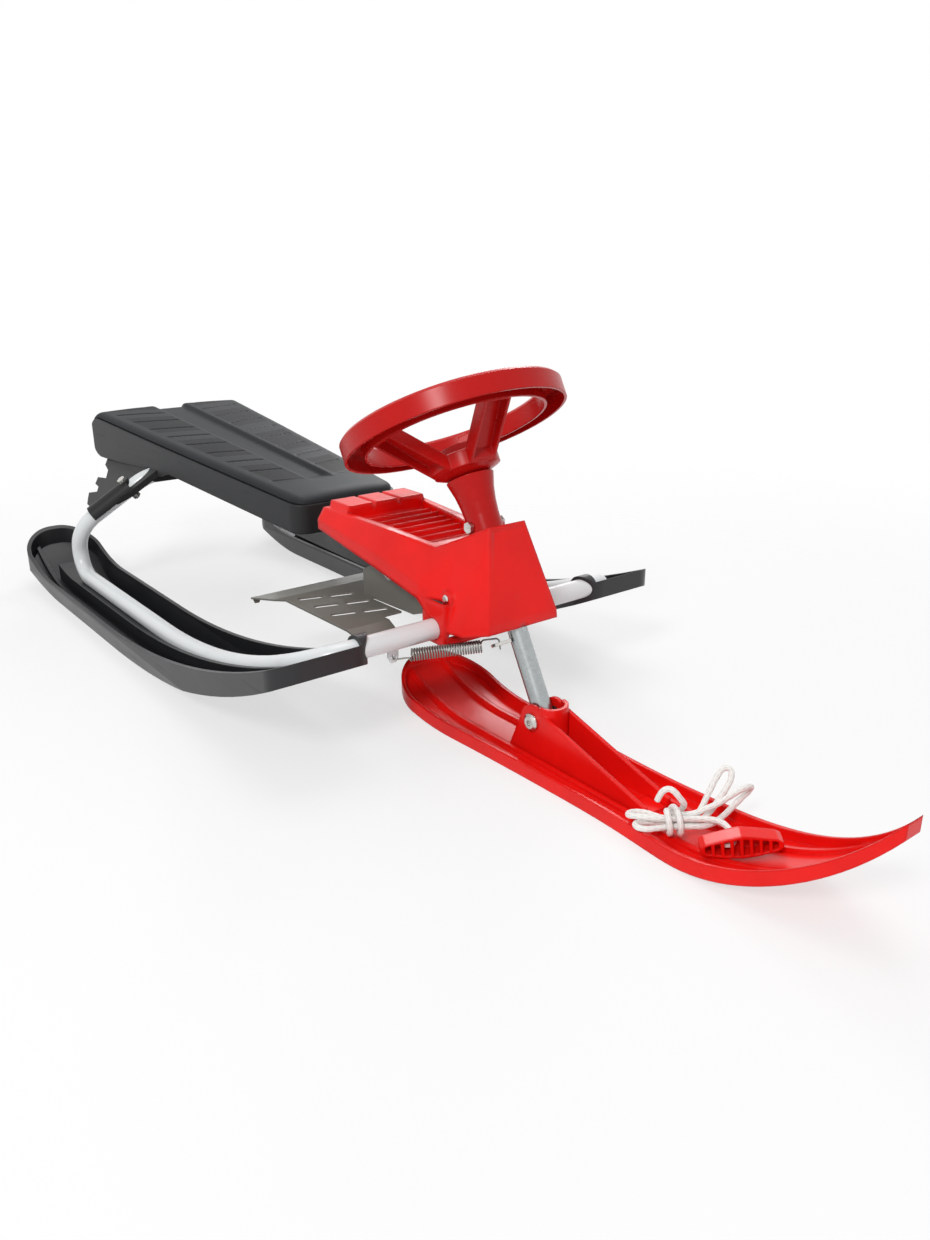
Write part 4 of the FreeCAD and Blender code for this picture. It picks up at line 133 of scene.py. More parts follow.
class Bench:
    """A node tree and the ways to add to it."""

    bevel_samples = 6
    edge_gain = 5.0
    edge_floor = 0.12

    # Places of the colour sockets on a Mix node
    mix_share = 0
    mix_low = 6
    mix_high = 7
    mix_result = 2

    def __init__(self, tree: bpy.types.NodeTree) -> None:
        """Start from an empty tree."""
        self.tree = tree
        tree.nodes.clear()

    def node(self, kind: str, settings: Optional[dict[str, Any]] = None,
             sockets: Optional[dict[Union[int, str], Value]] = None, out: Union[int, str] = 0) -> Tap:
        """Add a node.

        Args:
            kind: the node's type.
            settings: its properties, set first.
            sockets: values or links of its inputs, by name or number.
            out: the output to give back.

        Returns:
            That output.
        """
        made = self.tree.nodes.new(kind)
        for name, value in (settings or {}).items():
            setattr(made, name, value)
        for name, value in (sockets or {}).items():
            if isinstance(value, Tap):
                self.tree.links.new(value.socket, made.inputs[name])
            elif isinstance(value, tuple) and made.inputs[name].type == "RGBA":
                made.inputs[name].default_value = (*value[:3], 1.0)
            else:
                made.inputs[name].default_value = value
        return Tap(self, made.outputs[out]) if made.outputs else Tap(self, made.inputs[0])

    def place(self) -> Tap:
        """The point on the piece, in metres."""
        return self.node("ShaderNodeTexCoord", out="Object")

    def mapped(self, scale: Spot, turn: Spot = (0.0, 0.0, 0.0)) -> Tap:
        """The point on the piece, turned and then scaled along each axis."""
        turned = self.node("ShaderNodeMapping", {}, {"Vector": self.place(), "Rotation": turn})
        return self.node("ShaderNodeVectorMath", {"operation": "MULTIPLY"}, {0: turned, 1: scale})

    def noise(self, at: Tap, cells: float, detail: float = 2.0, rough: float = 0.5) -> Tap:
        """Cloudy noise from 0 to 1 with a given number of cells in a unit of length."""
        return self.node("ShaderNodeTexNoise", {},
                         {"Vector": at, "Scale": cells, "Detail": detail, "Roughness": rough})

    def blend(self, share: Number, low: Value, high: Value) -> Tap:
        """A colour between low, at a share of 0, and high, at a share of 1."""
        return self.node("ShaderNodeMix", {"data_type": "RGBA"},
                         {self.mix_share: share, self.mix_low: low, self.mix_high: high}, self.mix_result)

    def rounded(self, radius: float) -> Tap:
        """The normal of the surface with its edges rounded off to a radius."""
        return self.node("ShaderNodeBevel", {"samples": self.bevel_samples}, {"Radius": radius})

    def edges(self, rounded: Tap) -> Tap:
        """A mask that is 1 on edges: one less the cosine between rounded and true normal, stretched.

        Args:
            rounded: the rounded normal.

        Returns:
            The mask.
        """
        true = self.node("ShaderNodeNewGeometry", out="True Normal")
        cosine = self.node("ShaderNodeVectorMath", {"operation": "DOT_PRODUCT"}, {0: rounded, 1: true},
                           out="Value")
        return ((1.0 - cosine) * self.edge_gain - self.edge_floor).clip()

    def bump(self, height: Number, depth: float, normal: Optional[Tap] = None) -> Tap:
        """The normal with a relief.

        Args:
            height: the relief, from 0 to 1.
            depth: its depth in metres.
            normal: the normal under it, or None for the surface's own.

        Returns:
            The normal.
        """
        sockets: dict[Union[int, str], Value] = {"Height": height, "Distance": depth, "Strength": 1.0}
        if normal is not None:
            sockets["Normal"] = normal
        return self.node("ShaderNodeBump", {}, sockets)

    def surface(self, **sockets: Value) -> None:
        """End the tree in one principled surface.

        Args:
            sockets: its inputs, with underscores for the spaces in their names.
        """
        named = {name.replace("_", " "): value for name, value in sockets.items()}
        shader = self.node("ShaderNodeBsdfPrincipled", {}, named)
        self.node("ShaderNodeOutputMaterial", {}, {"Surface": shader})


@dataclass(frozen=True)
class Finish:
    """What all finishes share: a name, a colour and how rough the surface is."""

    name: str
    colour: Colour
    roughness: float

    def shade(self, bench: Bench) -> None:
        """Build the node tree on an empty bench."""
        raise NotImplementedError

    def tint(self, factor: float) -> Colour:
        """The colour, lighter or darker by a factor."""
        return tuple(min(1.0, c * factor) for c in self.colour)


@lru_cache(maxsize=None)
def material_of(finish: Finish) -> bpy.types.Material:
    """Make a finish's material once.

    Args:
        finish: the finish to build.

    Returns:
        Its material.
    """
    material = bpy.data.materials.new(finish.name)
    material.use_nodes = True
    finish.shade(Bench(material.node_tree))
    material.diffuse_color = (*finish.colour, 1.0)
    return material


@dataclass(frozen=True)
class MouldedPlastic(Finish):
    """Injection-moulded plastic: fine grain, soft clouds, scuffs along the sled and paler edges, partly wear
    and partly painted highlight.
    """

    grain: float = 0.00035
    grain_depth: float = 0.000006
    grain_rough: float = 0.04
    cloud_cells: float = 22.0
    cloud_limits: Limits = (0.3, 0.75)
    cloud_tints: Limits = (0.93, 1.05)
    cloud_rough: float = 0.10
    edge_round: float = 0.0012
    # The pale edge below is partly wear and partly a painted highlight
    edge_highlight_lift: float = 1.5
    edge_highlight_grey: float = 0.012
    edge_wear_and_highlight: float = 0.35
    wear_cells: float = 160.0
    wear_limits: Limits = (0.3, 0.65)
    scuffs: float = 0.10
    scuff_cells: Spot = (9.0, 210.0, 210.0)
    scuff_limits: Limits = (0.58, 0.75)
    shine: float = 0.5

    def shade(self, bench: Bench) -> None:
        """Colour from clouds and edges, roughness from clouds, scuffs and grain, normal from grain.

        Args:
            bench: the empty tree to build in.
        """
        at = bench.place()
        cloud = bench.noise(at, self.cloud_cells, detail=3.0)
        grain = bench.noise(at, 1.0 / self.grain)
        lines = bench.noise(bench.mapped(self.scuff_cells), 1.0, detail=3.0, rough=0.6)
        rounded = bench.rounded(self.edge_round)
        edge = bench.edges(rounded)
        # Paler edges: partly wear, partly painted highlight, broken up by the wear noise
        worn_and_lit_edges = edge * bench.noise(at, self.wear_cells, detail=3.0).step(*self.wear_limits) * self.edge_wear_and_highlight
        body = bench.blend(cloud.step(*self.cloud_limits), *map(self.tint, self.cloud_tints))
        pale = tuple(min(1.0, c * self.edge_highlight_lift + self.edge_highlight_grey) for c in self.colour)
        rough = (self.roughness + (cloud - 0.5) * self.cloud_rough
                 + lines.step(*self.scuff_limits) * self.scuffs + grain * self.grain_rough)
        bench.surface(Base_Color=bench.blend(worn_and_lit_edges, body, pale), Roughness=rough.clip(),
                      Specular_IOR_Level=self.shine, Normal=bench.bump(grain, self.grain_depth, rounded))


@dataclass(frozen=True)
class PowderCoat(Finish):
    """Powder-coated steel: orange peel, a thin clear gloss, a little grime and paler edges, partly wear and
    partly painted highlight.
    """

    peel: float = 0.0016
    peel_depth: float = 0.00001
    grime: float = 0.12
    grime_cells: float = 34.0
    grime_limits: Limits = (0.52, 0.8)
    grime_tint: float = 0.72
    grime_rough: float = 0.12
    speck_cells: float = 900.0
    speck_limits: Limits = (0.62, 0.7)
    speck_rough: float = 0.08
    edge_round: float = 0.0008
    # Pale edges, partly wear and partly painted highlight
    edge_wear_and_highlight: float = 0.25
    edge_highlight_tint: float = 1.25
    gloss: float = 0.25
    gloss_rough: float = 0.18

    def shade(self, bench: Bench) -> None:
        """Colour from grime and edges, roughness from grime and specks, normal from the peel.

        Args:
            bench: the empty tree to build in.
        """
        at = bench.place()
        peel = bench.noise(at, 1.0 / self.peel)
        dirt = bench.noise(at, self.grime_cells, detail=4.0, rough=0.65).step(*self.grime_limits)
        speck = bench.noise(at, self.speck_cells).step(*self.speck_limits)
        rounded = bench.rounded(self.edge_round)
        edge = bench.edges(rounded)
        body = bench.blend(dirt * self.grime, self.colour, self.tint(self.grime_tint))
        rough = self.roughness + dirt * self.grime_rough + speck * self.speck_rough
        # Paler edges: partly wear, partly painted highlight
        bench.surface(Base_Color=bench.blend(edge * self.edge_wear_and_highlight, body, self.tint(self.edge_highlight_tint)),
                      Roughness=rough.clip(), Coat_Weight=self.gloss * (1.0 - dirt),
                      Coat_Roughness=self.gloss_rough, Normal=bench.bump(peel, self.peel_depth, rounded))


@dataclass(frozen=True)
class ZincSteel(Finish):
    """Zinc-plated steel: streaks along its axis, spangle and dull spots."""

    lean: float = 0.0
    streak_cells: Spot = (700.0, 700.0, 12.0)
    streak_share: float = 0.4
    streak_rough: float = 0.16
    streak_depth: float = 0.000006
    spangle_cells: float = 420.0
    spangle_share: float = 0.35
    tints: Limits = (0.82, 1.12)
    dull_cells: float = 60.0
    dull_limits: Limits = (0.5, 0.75)
    dull_share: float = 0.35
    dull_tint: float = 0.7
    dull_rough: float = 0.14
    edge_round: float = 0.0005

    def shade(self, bench: Bench) -> None:
        """Colour and roughness from spangle cells, dull spots and streaks drawn along the axis.

        Args:
            bench: the empty tree to build in.
        """
        at = bench.place()
        turned = bench.mapped(self.streak_cells, (0.0, self.lean, 0.0))
        drawn = bench.noise(turned, 1.0, detail=3.0, rough=0.6)
        cells = bench.node("ShaderNodeTexVoronoi", {}, {"Vector": at, "Scale": self.spangle_cells},
                           out="Color")
        level = bench.node("ShaderNodeSeparateColor", {}, {0: cells})
        dull = bench.noise(at, self.dull_cells, detail=4.0, rough=0.6).step(*self.dull_limits)
        mixed = level * self.spangle_share + drawn * self.streak_share
        body = bench.blend(mixed, *map(self.tint, self.tints))
        rough = self.roughness + dull * self.dull_rough + (drawn - 0.5) * self.streak_rough
        bench.surface(Base_Color=bench.blend(dull * self.dull_share, body, self.tint(self.dull_tint)),
                      Metallic=1.0, Roughness=rough.clip(),
                      Normal=bench.bump(drawn, self.streak_depth, bench.rounded(self.edge_round)))


@dataclass(frozen=True)
class PadSkin(Finish):
    """Seat covering: moulded skin with rows of small raised dots where the piece's dots mask is set, with
    painted shade in the gaps between them.
    """

    pitch: float = 0.0038
    lattice: Spot = (1.0, 1.0, 0.05)
    lattice_turn: Spot = (0.0, 0.0, 0.7)
    dot_limits: Limits = (0.18, 0.42)
    gap_shade_share: float = 0.9
    gap_shade_tint: float = 0.45
    gap_rough: float = 0.06
    cloud_cells: float = 15.0
    cloud_limits: Limits = (0.3, 0.7)
    cloud_tints: Limits = (0.9, 1.1)
    cloud_rough: float = 0.1
    grain_cells: float = 2400.0
    grain_share: float = 0.12
    depth: float = 0.00022
    shine: float = 0.10

    def shade(self, bench: Bench) -> None:
        """Normal and colour from the gaps in a square lattice of dots, the colour a painted shade in the
        gaps, with leather-like grain all over.

        Args:
            bench: the empty tree to build in.
        """
        at = bench.place()
        dots = bench.node("ShaderNodeAttribute", {"attribute_name": "dots"}, out="Fac")
        cell = bench.node("ShaderNodeTexVoronoi", {},
                          {"Vector": bench.mapped(self.lattice, self.lattice_turn),
                           "Scale": 1.0 / self.pitch, "Randomness": 0.0})
        gaps = cell.step(*self.dot_limits) * dots
        grain = bench.noise(at, self.grain_cells, detail=3.0)
        cloud = bench.noise(at, self.cloud_cells, detail=3.0)
        body = bench.blend(cloud.step(*self.cloud_limits), *map(self.tint, self.cloud_tints))
        rough = self.roughness + (cloud - 0.5) * self.cloud_rough + gaps * self.gap_rough
        # Painted shade: the sunken gaps between the raised dots are darkened
        bench.surface(Base_Color=bench.blend(gaps * self.gap_shade_share, body, self.tint(self.gap_shade_tint)),
                      Roughness=rough.clip(), Specular_IOR_Level=self.shine,
                      Normal=bench.bump(gaps * -1.0 + grain * self.grain_share, self.depth))


@dataclass(frozen=True)
class RopeFibre(Finish):
    """Braided white cord: two families of strands crossing round it, with fibres along each and painted shade
    between the strands.
    """

    strands: int = 6
    lay: float = 95.0
    weave_share: float = 0.8
    fibre_cells: float = 2600.0
    fibre_share: float = 0.3
    crevice_shade_tint: float = 0.74
    sheen: float = 0.25
    depth: float = 0.00022

    def shade(self, bench: Bench) -> None:
        """Strand = sine of strands times turn plus or minus length times the lay; fibres are fine noise.

        Args:
            bench: the empty tree to build in.
        """
        uv = bench.node("ShaderNodeUVMap", {"uv_map": "UVMap"})
        around = bench.node("ShaderNodeSeparateXYZ", {}, {0: uv}, out="X")
        along = bench.node("ShaderNodeSeparateXYZ", {}, {0: uv}, out="Y")
        turn = around * (FULL_TURN * self.strands)
        run = along * (FULL_TURN * self.lay)
        left = (turn + run).math("SINE")
        right = (turn - run).math("SINE")
        weave = left.math("MAXIMUM", right) * 0.5 + 0.5
        fibre = bench.noise(bench.place(), self.fibre_cells)
        # Painted shade: darker in the crevices where neither strand family is on top, with fibre noise mixed
        # in
        lit = (weave * self.weave_share + fibre * self.fibre_share).clip()
        bench.surface(Base_Color=bench.blend(lit, self.tint(self.crevice_shade_tint), self.colour),
                      Roughness=self.roughness, Sheen_Weight=self.sheen,
                      Normal=bench.bump(weave + fibre * self.fibre_share, self.depth))


# Reds with a faint pale edge, partly painted highlight, and few scuffs
CLEAN_RED = {"edge_highlight_lift": 1.12, "edge_wear_and_highlight": 0.06, "scuffs": 0.03}
RED = MouldedPlastic("red_plastic", (0.83, 0.0082, 0.0060), 0.22, edge_round=0.0024, shine=0.22, **CLEAN_RED)
CONSOLE_RED = MouldedPlastic("console_red_plastic", (0.83, 0.0082, 0.0060), 0.20, edge_round=0.0055,
                             shine=0.24, **CLEAN_RED)
DEEP_RED = MouldedPlastic("wheel_red_plastic", (0.49, 0.0062, 0.0050), 0.25, edge_round=0.0016,
                          shine=0.20, **CLEAN_RED)
# The edge lifts below paint pale edges, partly wear and partly painted highlight
SKI_BLACK = MouldedPlastic("ski_black_plastic", (0.0085, 0.0092, 0.0108), 0.36, grain=0.0005,
                           grain_depth=0.00002, edge_highlight_lift=1.9, shine=0.50)
SEAT_GREY = MouldedPlastic("seat_shell_plastic", (0.024, 0.0252, 0.0265), 0.40, grain=0.0006,
                           grain_depth=0.00002, edge_round=0.0024, edge_highlight_lift=1.6, shine=0.24)
BRACKET_BLACK = MouldedPlastic("bracket_plastic", (0.015, 0.0155, 0.016), 0.42, grain=0.0006,
                               grain_depth=0.00003, edge_highlight_lift=2.0, shine=0.24)
PAD_GREY = PadSkin("seat_pad_skin", (0.0205, 0.0225, 0.0245), 0.46)
WHITE_COAT = PowderCoat("white_powder_coat", (0.74, 0.765, 0.775), 0.30)
GREY_COAT = PowderCoat("brake_grey_coat", (0.150, 0.143, 0.124), 0.42, grime=0.3)
BEAM_COAT = PowderCoat("beam_dark_coat", (0.030, 0.030, 0.031), 0.42, grime=0.3)
ZINC = ZincSteel("zinc_tube", (0.42, 0.445, 0.45), 0.26, lean=RAKE)
BRIGHT = ZincSteel("bright_steel", (0.66, 0.65, 0.62), 0.24, streak_cells=(500.0, 500.0, 500.0))
SPRING_STEEL = ZincSteel("spring_steel", (0.30, 0.29, 0.27), 0.30, streak_cells=(300.0, 300.0, 300.0))
ROPE_WHITE = RopeFibre("rope_fibre", (0.90, 0.89, 0.86), 0.75)


def dress(finish: Finish, *names: str) -> None:
    """Give CAD nodes a finish.

    Args:
        finish: the finish.
        names: the nodes.
    """
    for name in names:
        slots = frame["nodes"][name].data.materials
        slots.clear()
        slots.append(material_of(finish))
        log.info("dressed %s in %s", name, finish.name)


def smooth(t: Array) -> Array:
    """The step 3 t^2 - 2 t^3 between 0 and 1, flat outside."""
    t = np.clip(t, 0.0, 1.0)
    return t * t * (3.0 - 2.0 * t)


def quarter(t: Array) -> Array:
    """A quarter circle that rises from 0 at 0 to 1 at 1, flat outside."""
    return np.sqrt(1.0 - (1.0 - np.clip(t, 0.0, 1.0)) ** 2)


def put(name: str, points: Array, faces: Array, uv: Optional[Array] = None) -> bpy.types.Object:
    """Make a smooth mesh object from whole arrays.

    Args:
        name: the piece's name.
        points: corners, n by 3.
        faces: corner numbers, k by 4; a face that repeats its last corner is a triangle.
        uv: a UV place for each corner of each face, k by 4 by 2.

    Returns:
        The object, at the origin.
    """
    mesh = bpy.data.meshes.new(name)
    keep = np.where(faces[:, 2] == faces[:, 3], 3, 4)
    mask = np.arange(4)[None, :] < keep[:, None]
    mesh.vertices.add(len(points))
    mesh.vertices.foreach_set("co", np.ascontiguousarray(points, np.float32).ravel())
    mesh.loops.add(int(keep.sum()))
    mesh.loops.foreach_set("vertex_index", faces[mask].astype(np.int32))
    mesh.polygons.add(len(faces))
    mesh.polygons.foreach_set("loop_start", (np.cumsum(keep) - keep).astype(np.int32))
    mesh.polygons.foreach_set("use_smooth", np.ones(len(faces), bool))
    if uv is not None:
        mesh.uv_layers.new(name="UVMap").data.foreach_set("uv", uv[mask].astype(np.float32).ravel())
    mesh.update(calc_edges=True)
    mesh.validate()
    piece = bpy.data.objects.new(name, mesh)
    bpy.context.scene.collection.objects.link(piece)
    return piece


def quads(rows: int, columns: int) -> Array:
    """Faces of a grid of points whose rows close on themselves, corner numbers row by row.

    Args:
        rows: rows of points.
        columns: points in a row.

    Returns:
        Faces, k by 4.
    """
    i, j = np.meshgrid(np.arange(rows - 1), np.arange(columns), indexing="ij")
    k = (j + 1) % columns
    corners = [i * columns + j, i * columns + k, (i + 1) * columns + k, (i + 1) * columns + j]
    return np.stack(corners, -1).reshape(-1, 4)


def fans(first: Array, centre: int, flip: bool) -> Array:
    """Triangles from a closed row of corners to one centre.

    Args:
        first: the row's corner numbers.
        centre: the centre's corner number.
        flip: whether to turn the faces round.

    Returns:
        Faces, k by 4, each with its last corner repeated.
    """
    after = np.roll(first, -1)
    a, b = (after, first) if flip else (first, after)
    middle = np.full(len(first), centre)
    return np.stack([a, b, middle, middle], -1)


def run_along(path: Array) -> Array:
    """Length of a path up to each of its points: the sum of the steps before it."""
    return np.concatenate([[0.0], np.cumsum(np.linalg.norm(np.diff(path, axis=0), axis=1))])


def carried(path: Array) -> tuple[Array, Array]:
    """Frames along a path that turn as little as they can: each normal is the one before, less its part
    along the new tangent.

    Args:
        path: points, n by 3.

    Returns:
        Normals and binormals, n by 3 each.
    """
    tangent = np.gradient(path, axis=0)
    tangent /= np.linalg.norm(tangent, axis=1, keepdims=True)
    side = np.cross(tangent[0], np.eye(3)[np.argmin(np.abs(tangent[0]))])

    def carry(normal: Array, way: Array) -> Array:
        """Drop the part of a normal along the way and make it one long."""
        flat = normal - way * (normal @ way)
        return flat / np.linalg.norm(flat)

    normals = np.array(list(accumulate(tangent, carry, initial=side))[1:])
    return normals, np.cross(tangent, normals)


def tube(name: str, path: Array, radius: Array) -> bpy.types.Object:
    """A closed tube round a path: point = path + radius (cos a normal + sin a binormal), a round the tube.

    Args:
        name: the piece's name.
        path: points, n by 3.
        radius: distance from the path, n by m for m corners round it.

    Returns:
        The tube, with its turn and its length in metres as UV.
    """
    rows, sides = radius.shape
    normal, binormal = carried(path)
    angle = np.linspace(0.0, FULL_TURN, sides, endpoint=False)[None, :, None]
    ring = np.cos(angle) * normal[:, None] + np.sin(angle) * binormal[:, None]
    points = np.concatenate([(path[:, None] + radius[..., None] * ring).reshape(-1, 3), path[[0, -1]]])
    faces = np.concatenate([quads(rows, sides), fans(np.arange(sides), rows * sides, True),
                            fans(np.arange(sides) + (rows - 1) * sides, rows * sides + 1, False)])
    run = run_along(path)
    i, j = np.meshgrid(np.arange(rows - 1), np.arange(sides), indexing="ij")
    turn = np.stack([j, j + 1, j + 1, j], -1).reshape(-1, 4) / sides
    length = run[np.stack([i, i, i + 1, i + 1], -1).reshape(-1, 4)]
    uv = np.concatenate([np.stack([turn, length], -1), np.zeros((2 * sides, 4, 2))])
    return put(name, points, faces, uv)


# The tow rope's control points, which are those of the rope in the CAD
ROPE_ROUTE: tuple[Spot, ...] = (
    (0.4456, -0.0062, 0.0052), (0.4456, -0.0062, 0.0110), (0.4496, -0.0068, 0.0162),
    (0.4563, -0.0078, 0.0210), (0.4674, -0.0179, 0.0210), (0.4740, -0.0107, 0.0224),
    (0.4629, -0.0006, 0.0224), (0.4547, 0.0038, 0.0235), (0.4466, 0.0031, 0.0245),
    (0.4382, -0.0017, 0.0235), (0.4322, -0.0072, 0.0229), (0.4187, -0.0246, 0.0229),
    (0.4148, -0.0317, 0.0240), (0.4085, -0.0382, 0.0246), (0.4008, -0.0424, 0.0236),
    (0.3933, -0.0422, 0.0206), (0.3890, -0.0363, 0.0186), (0.3903, -0.0291, 0.0176),
    (0.3964, -0.0237, 0.0175), (0.4043, -0.0216, 0.0175), (0.4116, -0.0190, 0.0175),
    (0.4251, -0.0017, 0.0175), (0.4252, 0.0059, 0.0190), (0.4236, 0.0135, 0.0245),
    (0.4223, 0.0208, 0.0320), (0.4206, 0.0292, 0.0390), (0.4196, 0.0362, 0.0444),
    (0.4210, 0.0413, 0.0478), (0.4258, 0.0435, 0.0468), (0.4290, 0.0402, 0.0416),
    (0.4301, 0.0331, 0.0352), (0.4305, 0.0245, 0.0290), (0.4312, 0.0176, 0.0243),
    (0.4313, 0.0100, 0.0198), (0.4313, 0.0018, 0.0176), (0.4298, -0.0053, 0.0173),
    (0.4162, -0.0227, 0.0173), (0.4110, -0.0274, 0.0169), (0.4056, -0.0334, 0.0168),
    (0.4023, -0.0389, 0.0174), (0.4030, -0.0448, 0.0180), (0.4086, -0.0464, 0.0180),
    (0.4140, -0.0418, 0.0177), (0.4176, -0.0339, 0.0173), (0.4209, -0.0263, 0.0175),
    (0.4344, -0.0090, 0.0175), (0.4389, -0.0010, 0.0170), (0.4411, 0.0099, 0.0185),
    (0.4413, 0.0224, 0.0225), (0.4411, 0.0328, 0.0268), (0.4408, 0.0413, 0.0296),
    (0.4412, 0.0479, 0.0324), (0.4435, 0.0482, 0.0376), (0.4443, 0.0405, 0.0406),
    (0.4430, 0.0301, 0.0390), (0.4407, 0.0204, 0.0356), (0.4382, 0.0109, 0.0318),
    (0.4327, 0.0026, 0.0280), (0.4273, -0.0034, 0.0229), (0.4169, -0.0168, 0.0229),
    (0.4151, -0.0224, 0.0288), (0.4221, -0.0279, 0.0292), (0.4274, -0.0301, 0.0195),
    (0.4242, -0.0264, 0.0110), (0.4116, -0.0146, 0.0110), (0.4089, -0.0106, 0.0195),
    (0.4137, -0.0129, 0.0280), (0.4208, -0.0168, 0.0300), (0.4277, -0.0210, 0.0280),
    (0.4325, -0.0232, 0.0195), (0.4295, -0.0196, 0.0110), (0.4171, -0.0076, 0.0110),
    (0.4144, -0.0035, 0.0195), (0.4193, -0.0058, 0.0280), (0.4233, -0.0104, 0.0335),
    (0.4216, -0.0142, 0.0390), (0.4183, -0.0167, 0.0440), (0.4142, -0.0191, 0.0464),
    (0.4101, -0.0217, 0.0434), (0.4078, -0.0231, 0.0375), (0.4064, -0.0239, 0.0325),
)


@dataclass
class TowRope:
    """The tied bundle of tow rope on the front ski, and the handle on it."""

    diameter: float = 0.005
    sides: int = 18
    strands: int = ROPE_WHITE.strands
    lay: float = ROPE_WHITE.lay
    relief: float = 0.00018
    span_points: int = 16
    least_step: float = 1e-6
    end_taper: float = 0.0012
    end_share: float = 0.15

    def line(self) -> Array:
        """Points read from a NURBS spline whose control points are the route.

        Returns:
            Points along the rope, n by 3.
        """
        curve = bpy.data.curves.new("rope_line", "CURVE")
        curve.dimensions = "3D"
        spline = curve.splines.new("NURBS")
        spline.points.add(len(ROPE_ROUTE) - 1)
        route = np.column_stack([np.array(ROPE_ROUTE), np.ones(len(ROPE_ROUTE))])
        spline.points.foreach_set("co", route.ravel())
        spline.order_u = 3
        spline.use_endpoint_u = True
        spline.resolution_u = self.span_points
        holder = bpy.data.objects.new("rope_line", curve)
        bpy.context.scene.collection.objects.link(holder)
        bpy.context.view_layer.update()
        mesh = bpy.data.meshes.new_from_object(holder)
        points = np.empty(len(mesh.vertices) * 3)
        mesh.vertices.foreach_get("co", points)
        bpy.data.objects.remove(holder)
        bpy.data.curves.remove(curve)
        bpy.data.meshes.remove(mesh)
        points = points.reshape(-1, 3)
        apart = np.linalg.norm(np.diff(points, axis=0), axis=1) > self.least_step
        return points[np.concatenate([[True], apart])]

    def build(self) -> None:
        """Make the rope: radius = half the diameter less a relief where neither strand family is on top."""
        path = self.line()
        run = run_along(path)
        turn = np.linspace(0.0, FULL_TURN, self.sides, endpoint=False)[None, :] * self.strands
        wind = FULL_TURN * self.lay * run[:, None]
        weave = np.maximum(np.sin(turn + wind), np.sin(turn - wind)) * 0.5 + 0.5
        end = np.minimum(run, run[-1] - run)[:, None]
        taper = np.sqrt(np.clip(end / self.end_taper, self.end_share, 1.0))
        rope = tube("tow_rope_cord", path, (self.diameter / 2.0 - self.relief * (1.0 - weave)) * taper)
        rope.data.materials.append(material_of(ROPE_WHITE))
        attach(rope, Body.RUNNER.value)
        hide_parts("tow_rope")
        dress(RED, "rope_handle")
        log.info("tow rope %.3f m", run[-1])


@dataclass
class ReturnSpring:
    """The close-wound spring that centres the steering, between the column's tab and the crossbar's eye."""

    pivot: Spot = tuple(STEER["pos_m"])
    rake: float = RAKE
    tab_height: float = 0.069
    tab_reach: float = 0.020
    anchor: Spot = (0.154, -0.104, 0.095)
    wire: float = 0.0016
    wire_sides: int = 10
    outer: float = 0.0124
    pitch: float = 0.0024
    turns: int = 27
    turn_points: int = 28
    hook: float = 0.0032
    hook_points: int = 9
    tail: float = 0.005
    tail_points: int = 6
    lead_points: int = 12

    def hooked(self, spot: Array, out: Array, way: Array) -> Array:
        """A wire through a hole that bends over to run along the spring.

        Args:
            spot: the hole's centre.
            out: direction of the wire in the hole.
            way: direction along the spring, away from the hole.

        Returns:
            Points along the wire, n by 3.
        """
        rise = (self.outer - self.wire) / 2.0 - self.hook
        bend = np.linspace(0.0, QUARTER_TURN, self.hook_points)[1:, None]
        foot = spot + out * np.linspace(-self.tail, rise, self.tail_points)[:, None]
        centre = spot + out * rise + way * self.hook
        return np.concatenate([foot, centre + self.hook * (np.sin(bend) * out - np.cos(bend) * way)])

    def line(self) -> Array:
        """Wire centre line: hook, straight, coil, straight, hook. The coil is
        axis + r (cos a x + sin a y) + pitch a / 2 pi along, its ends eased into lines beside the axis.

        Returns:
            Points along the wire, n by 3.
        """
        column = np.array([-math.sin(self.rake), 0.0, math.cos(self.rake)])
        anchor = np.array(self.anchor)
        middle = np.array(self.pivot) + self.tab_height * column
        pull = anchor - middle
        side = pull - column * (pull @ column)
        hole = middle + side / np.linalg.norm(side) * self.tab_reach
        reach = float(np.linalg.norm(anchor - hole))
        along = (anchor - hole) / reach
        first = column - along * (column @ along)
        first /= np.linalg.norm(first)
        second = np.cross(along, first)
        ahead = np.array([1.0, 0.0, 0.0])
        last = ahead - along * (ahead @ along)
        last /= np.linalg.norm(last)
        r = (self.outer - self.wire) / 2.0
        phase = math.atan2(last @ second, last @ first) % FULL_TURN
        turns = self.turns + phase / FULL_TURN
        start = (reach - turns * self.pitch) / 2.0
        angle = np.linspace(0.0, turns * FULL_TURN, int(turns * self.turn_points))
        ease = np.clip(1.0 - np.minimum(angle, angle[-1] - angle) / QUARTER_TURN, 0.0, 1.0)
        lag = self.pitch * ease ** 2 * np.where(angle < angle[-1] / 2.0, -1.0, 1.0)
        place = start + self.pitch * angle / FULL_TURN + lag
        coil = (hole + along * place[:, None]
                + r * (np.cos(angle)[:, None] * first + np.sin(angle)[:, None] * second))
        lead = np.linspace(self.hook, start - self.pitch, self.lead_points)[1:-1, None]
        head = hole + first * r + along * lead
        foot = anchor + last * r - along * lead[::-1]
        return np.concatenate([self.hooked(hole, first, along), head, coil, foot,
                               self.hooked(anchor, last, -along)[::-1]])

    def build(self) -> None:
        """Make the wire between the frame and the column, and dress the tab and the anchor."""
        path = self.line()
        spring = tube("return_spring_coil", path, np.full((len(path), self.wire_sides), self.wire / 2.0))
        spring.data.materials.append(material_of(SPRING_STEEL))
        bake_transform(spring)
        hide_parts("return_spring")
        dress(BRIGHT, "spring_tab")
        dress(WHITE_COAT, "spring_anchor")
        log.info("return spring of %d points", len(path))


